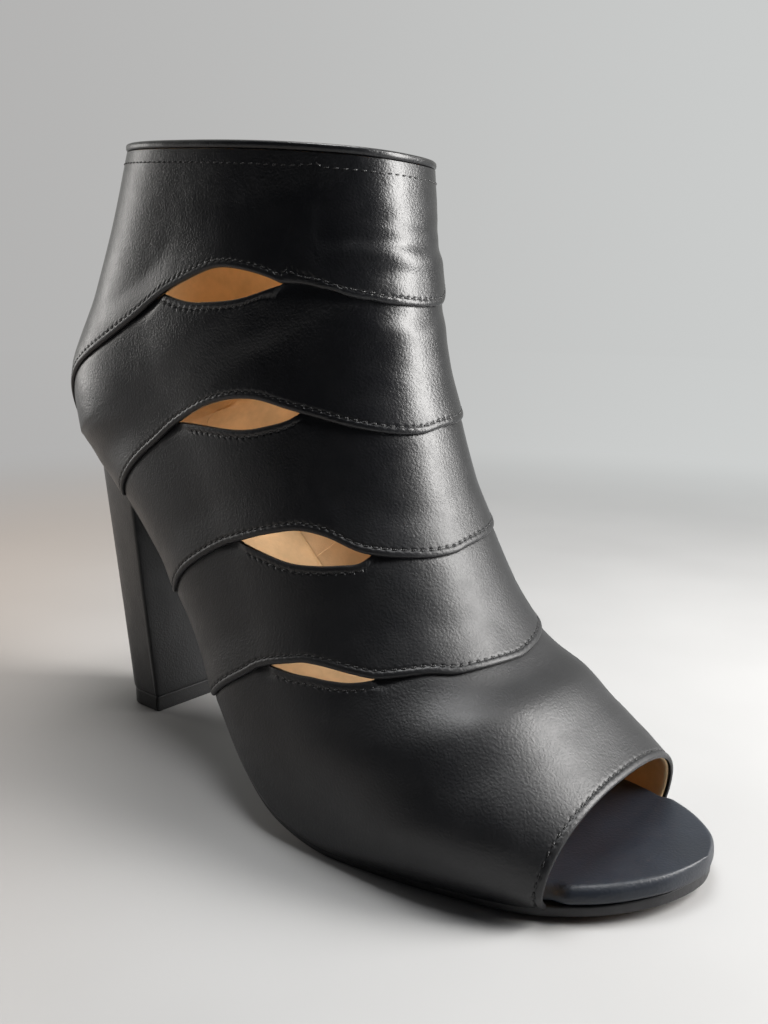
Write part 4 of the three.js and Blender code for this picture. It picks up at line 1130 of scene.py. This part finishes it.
# Soft lights: name, place, what it is aimed at, width and height in metres, watts, colour.
LIGHTS = (
    ("window_right", (0.38, 0.26, 0.32), (0, 0, 0.10), (0.22, 0.44), 5.8, (1, 0.985, 0.965)),
    ("window_left", (-0.95, -0.20, 0.25), (-0.05, 0, 0.12), (0.22, 0.4), 1.3, (1, 0.97, 0.94)),
    ("soft_top", (-0.05, 0.04, 1.0), (-0.05, 0.02, 0), (0.4, 0.4), 6.0, (1, 1, 1)),
)


def area_light(name, place, aim, size, power, colour):
    data = bpy.data.lights.new(name, "AREA")
    data.shape, data.size, data.size_y = "RECTANGLE", size[0], size[1]
    data.energy, data.color = power, colour
    light = bpy.data.objects.new(name, data)
    light.location = place
    light.rotation_euler = (Vector(aim) - Vector(place)).to_track_quat("-Z", "Y").to_euler()
    bpy.context.scene.collection.objects.link(light)


CAMERA_AT = (0.19054, -0.20648, 0.13738)
CAMERA_YAW, CAMERA_PITCH, CAMERA_ROLL = 130.1, 11.6, 0.46
CAMERA_LENS = 45.2
BEHIND = (-0.614, 0.789)        # level direction away from the camera, towards the brighter side
# Backdrop tones from left to right: painted light, shaded on the left and lit on the right.
BACKDROP_PAINTED_LIGHT = ((0.44, 0.435, 0.43), (0.62, 0.635, 0.63))
ROOM_DARK = (0.022, 0.023, 0.026, 1)
ROOM_BRIGHT = (0.46, 0.46, 0.44, 1)


def backdrop_painted_light(nodes, right):
    """Tone of the backdrop by how far to the right a direction points: painted light, brighter to the right
    where the light falls and darker to the left.
    """
    return nodes.mix(nodes.ramp(right, -0.6, 0.6), rgba(BACKDROP_PAINTED_LIGHT[0]), rgba(BACKDROP_PAINTED_LIGHT[1]))


def floor_stage_material():
    """Pale floor with a warmer tint painted on the left for the soft shadow and bounce light there; far out
    it glows with the backdrop's painted light, brighter to the right.
    """
    shader = Shader("floor_material")
    nx, ny = BEHIND
    right = shader.dot(shader.place, (ny, -nx, 0))
    reach = shader.node("ShaderNodeVectorMath", {0: shader.place}, operation="LENGTH").outputs["Value"]
    cloud = shader.ramp(shader.noise(7.0, 3.0, 0.5), 0.3, 0.7)
    tone = shader.mix(cloud, (0.40, 0.40, 0.40, 1), (0.44, 0.44, 0.44, 1))
    # painted shade: a warmer tint on the left of the floor for the soft shadow and bounce light there
    painted_warm_shade = shader.math("MULTIPLY", shader.ramp(right, 0.0, -0.25), 0.7)
    tone = shader.mix(painted_warm_shade, tone, (0.48, 0.40, 0.34, 1))
    shader.set(Base_Color=tone, Roughness=0.55)
    far = backdrop_painted_light(shader, shader.math("DIVIDE", right, reach))
    # painted light: far out the floor glows with the backdrop's tones, brighter to the right
    painted_backdrop_glow = shader.node("ShaderNodeEmission", {"Color": far}).outputs[0]
    inputs = {0: shader.ramp(reach, 0.25, 0.75), 1: shader.bsdf.outputs[0], 2: painted_backdrop_glow}
    both = shader.node("ShaderNodeMixShader", inputs).outputs[0]
    shader.put(shader.tree.nodes["Material Output"], "Surface", both)
    return shader.material


def studio_world():
    """Pale backdrop for the camera, painted lighter to the right where the light falls, and for the light a
    bright wall behind with a dim room in front.
    """
    world = bpy.data.worlds.new("studio")
    world.use_nodes = True
    nodes = Nodes(world.node_tree)
    way = nodes.node("ShaderNodeTexCoord").outputs["Generated"]
    nx, ny = BEHIND
    room = nodes.mix(nodes.ramp(nodes.dot(way, (nx, ny, 0)), -0.05, 0.4), ROOM_DARK, ROOM_BRIGHT)
    camera = nodes.node("ShaderNodeLightPath").outputs["Is Camera Ray"]
    # camera rays see the backdrop's painted light, brighter to the right
    tone = nodes.mix(camera, room, backdrop_painted_light(nodes, nodes.dot(way, (ny, -nx, 0))))
    nodes.put(nodes.tree.nodes["Background"], "Color", tone)
    return world


class BOOT_OT_stage(bpy.types.Operator):
    """Pale floor, soft studio light and the camera at the photograph's angle"""

    bl_idname = "boot.make_stage"
    bl_label = "Stage"

    def execute(self, context):
        scene = context.scene
        mesh = bpy.data.meshes.new("floor")
        far = 3.0
        corners = [(-far, -far, 0), (far, -far, 0), (far, far, 0), (-far, far, 0)]
        mesh.from_pydata(corners, [], [(0, 1, 2, 3)])
        mesh.materials.append(floor_stage_material())
        floor = bpy.data.objects.new("floor", mesh)
        scene.collection.objects.link(floor)
        scene.world = studio_world()

        for light in LIGHTS:
            area_light(*light)
        data = bpy.data.cameras.new("camera")
        data.sensor_fit, data.sensor_width = "HORIZONTAL", 36.0
        data.lens = CAMERA_LENS
        data.clip_start, data.clip_end = 0.01, 50
        camera = bpy.data.objects.new("camera", data)
        camera.location = CAMERA_AT
        pitch, yaw = math.radians(CAMERA_PITCH), math.radians(CAMERA_YAW)
        forward = Vector((math.cos(yaw) * math.cos(pitch), math.sin(yaw) * math.cos(pitch), -math.sin(pitch)))
        roll = Matrix.Rotation(math.radians(CAMERA_ROLL), 3, "Z")
        turn = forward.to_track_quat("-Z", "Y").to_matrix() @ roll
        camera.rotation_euler = turn.to_euler()
        scene.collection.objects.link(camera)
        scene.camera = camera
        scene.view_settings.view_transform = "Standard"
        return {"FINISHED"}


OPERATORS = (
    BOOT_OT_stage,
    BOOT_OT_panels,
    BOOT_OT_lining,
    BOOT_OT_binding,
    BOOT_OT_sole,
    BOOT_OT_heel,
    BOOT_OT_zip,
)


class BOOT_PT_panel(bpy.types.Panel):
    """Lists the boot's pieces and sizes"""

    bl_idname = "BOOT_PT_panel"
    bl_label = "Ankle boot"
    bl_space_type = "VIEW_3D"
    bl_region_type = "UI"
    bl_category = "Boot"

    def draw(self, context):
        for operator in OPERATORS:
            self.layout.operator(operator.bl_idname)
        for group in (context.scene.boot_sizes, context.scene.boot_looks):
            for name in group.bl_rna.properties.keys():
                if name not in ("rna_type", "name"):
                    self.layout.prop(group, name)


CLASSES = (BOOT_PG_sizes, BOOT_PG_looks, *OPERATORS, BOOT_PT_panel)


def register():
    for item in CLASSES:
        bpy.utils.register_class(item)
    bpy.types.Scene.boot_sizes = bpy.props.PointerProperty(type=BOOT_PG_sizes)
    bpy.types.Scene.boot_looks = bpy.props.PointerProperty(type=BOOT_PG_looks)


def unregister():
    del bpy.types.Scene.boot_looks
    del bpy.types.Scene.boot_sizes
    for item in reversed(CLASSES):
        bpy.utils.unregister_class(item)


def main():
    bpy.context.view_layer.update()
    register()
    bpy.ops.boot.make_stage()
    bpy.ops.boot.make_panels()
    bpy.ops.boot.make_lining()
    bpy.ops.boot.make_binding()
    bpy.ops.boot.make_sole()
    bpy.ops.boot.make_heel()
    bpy.ops.boot.make_zip()


if __name__ == "__main__":
    main()
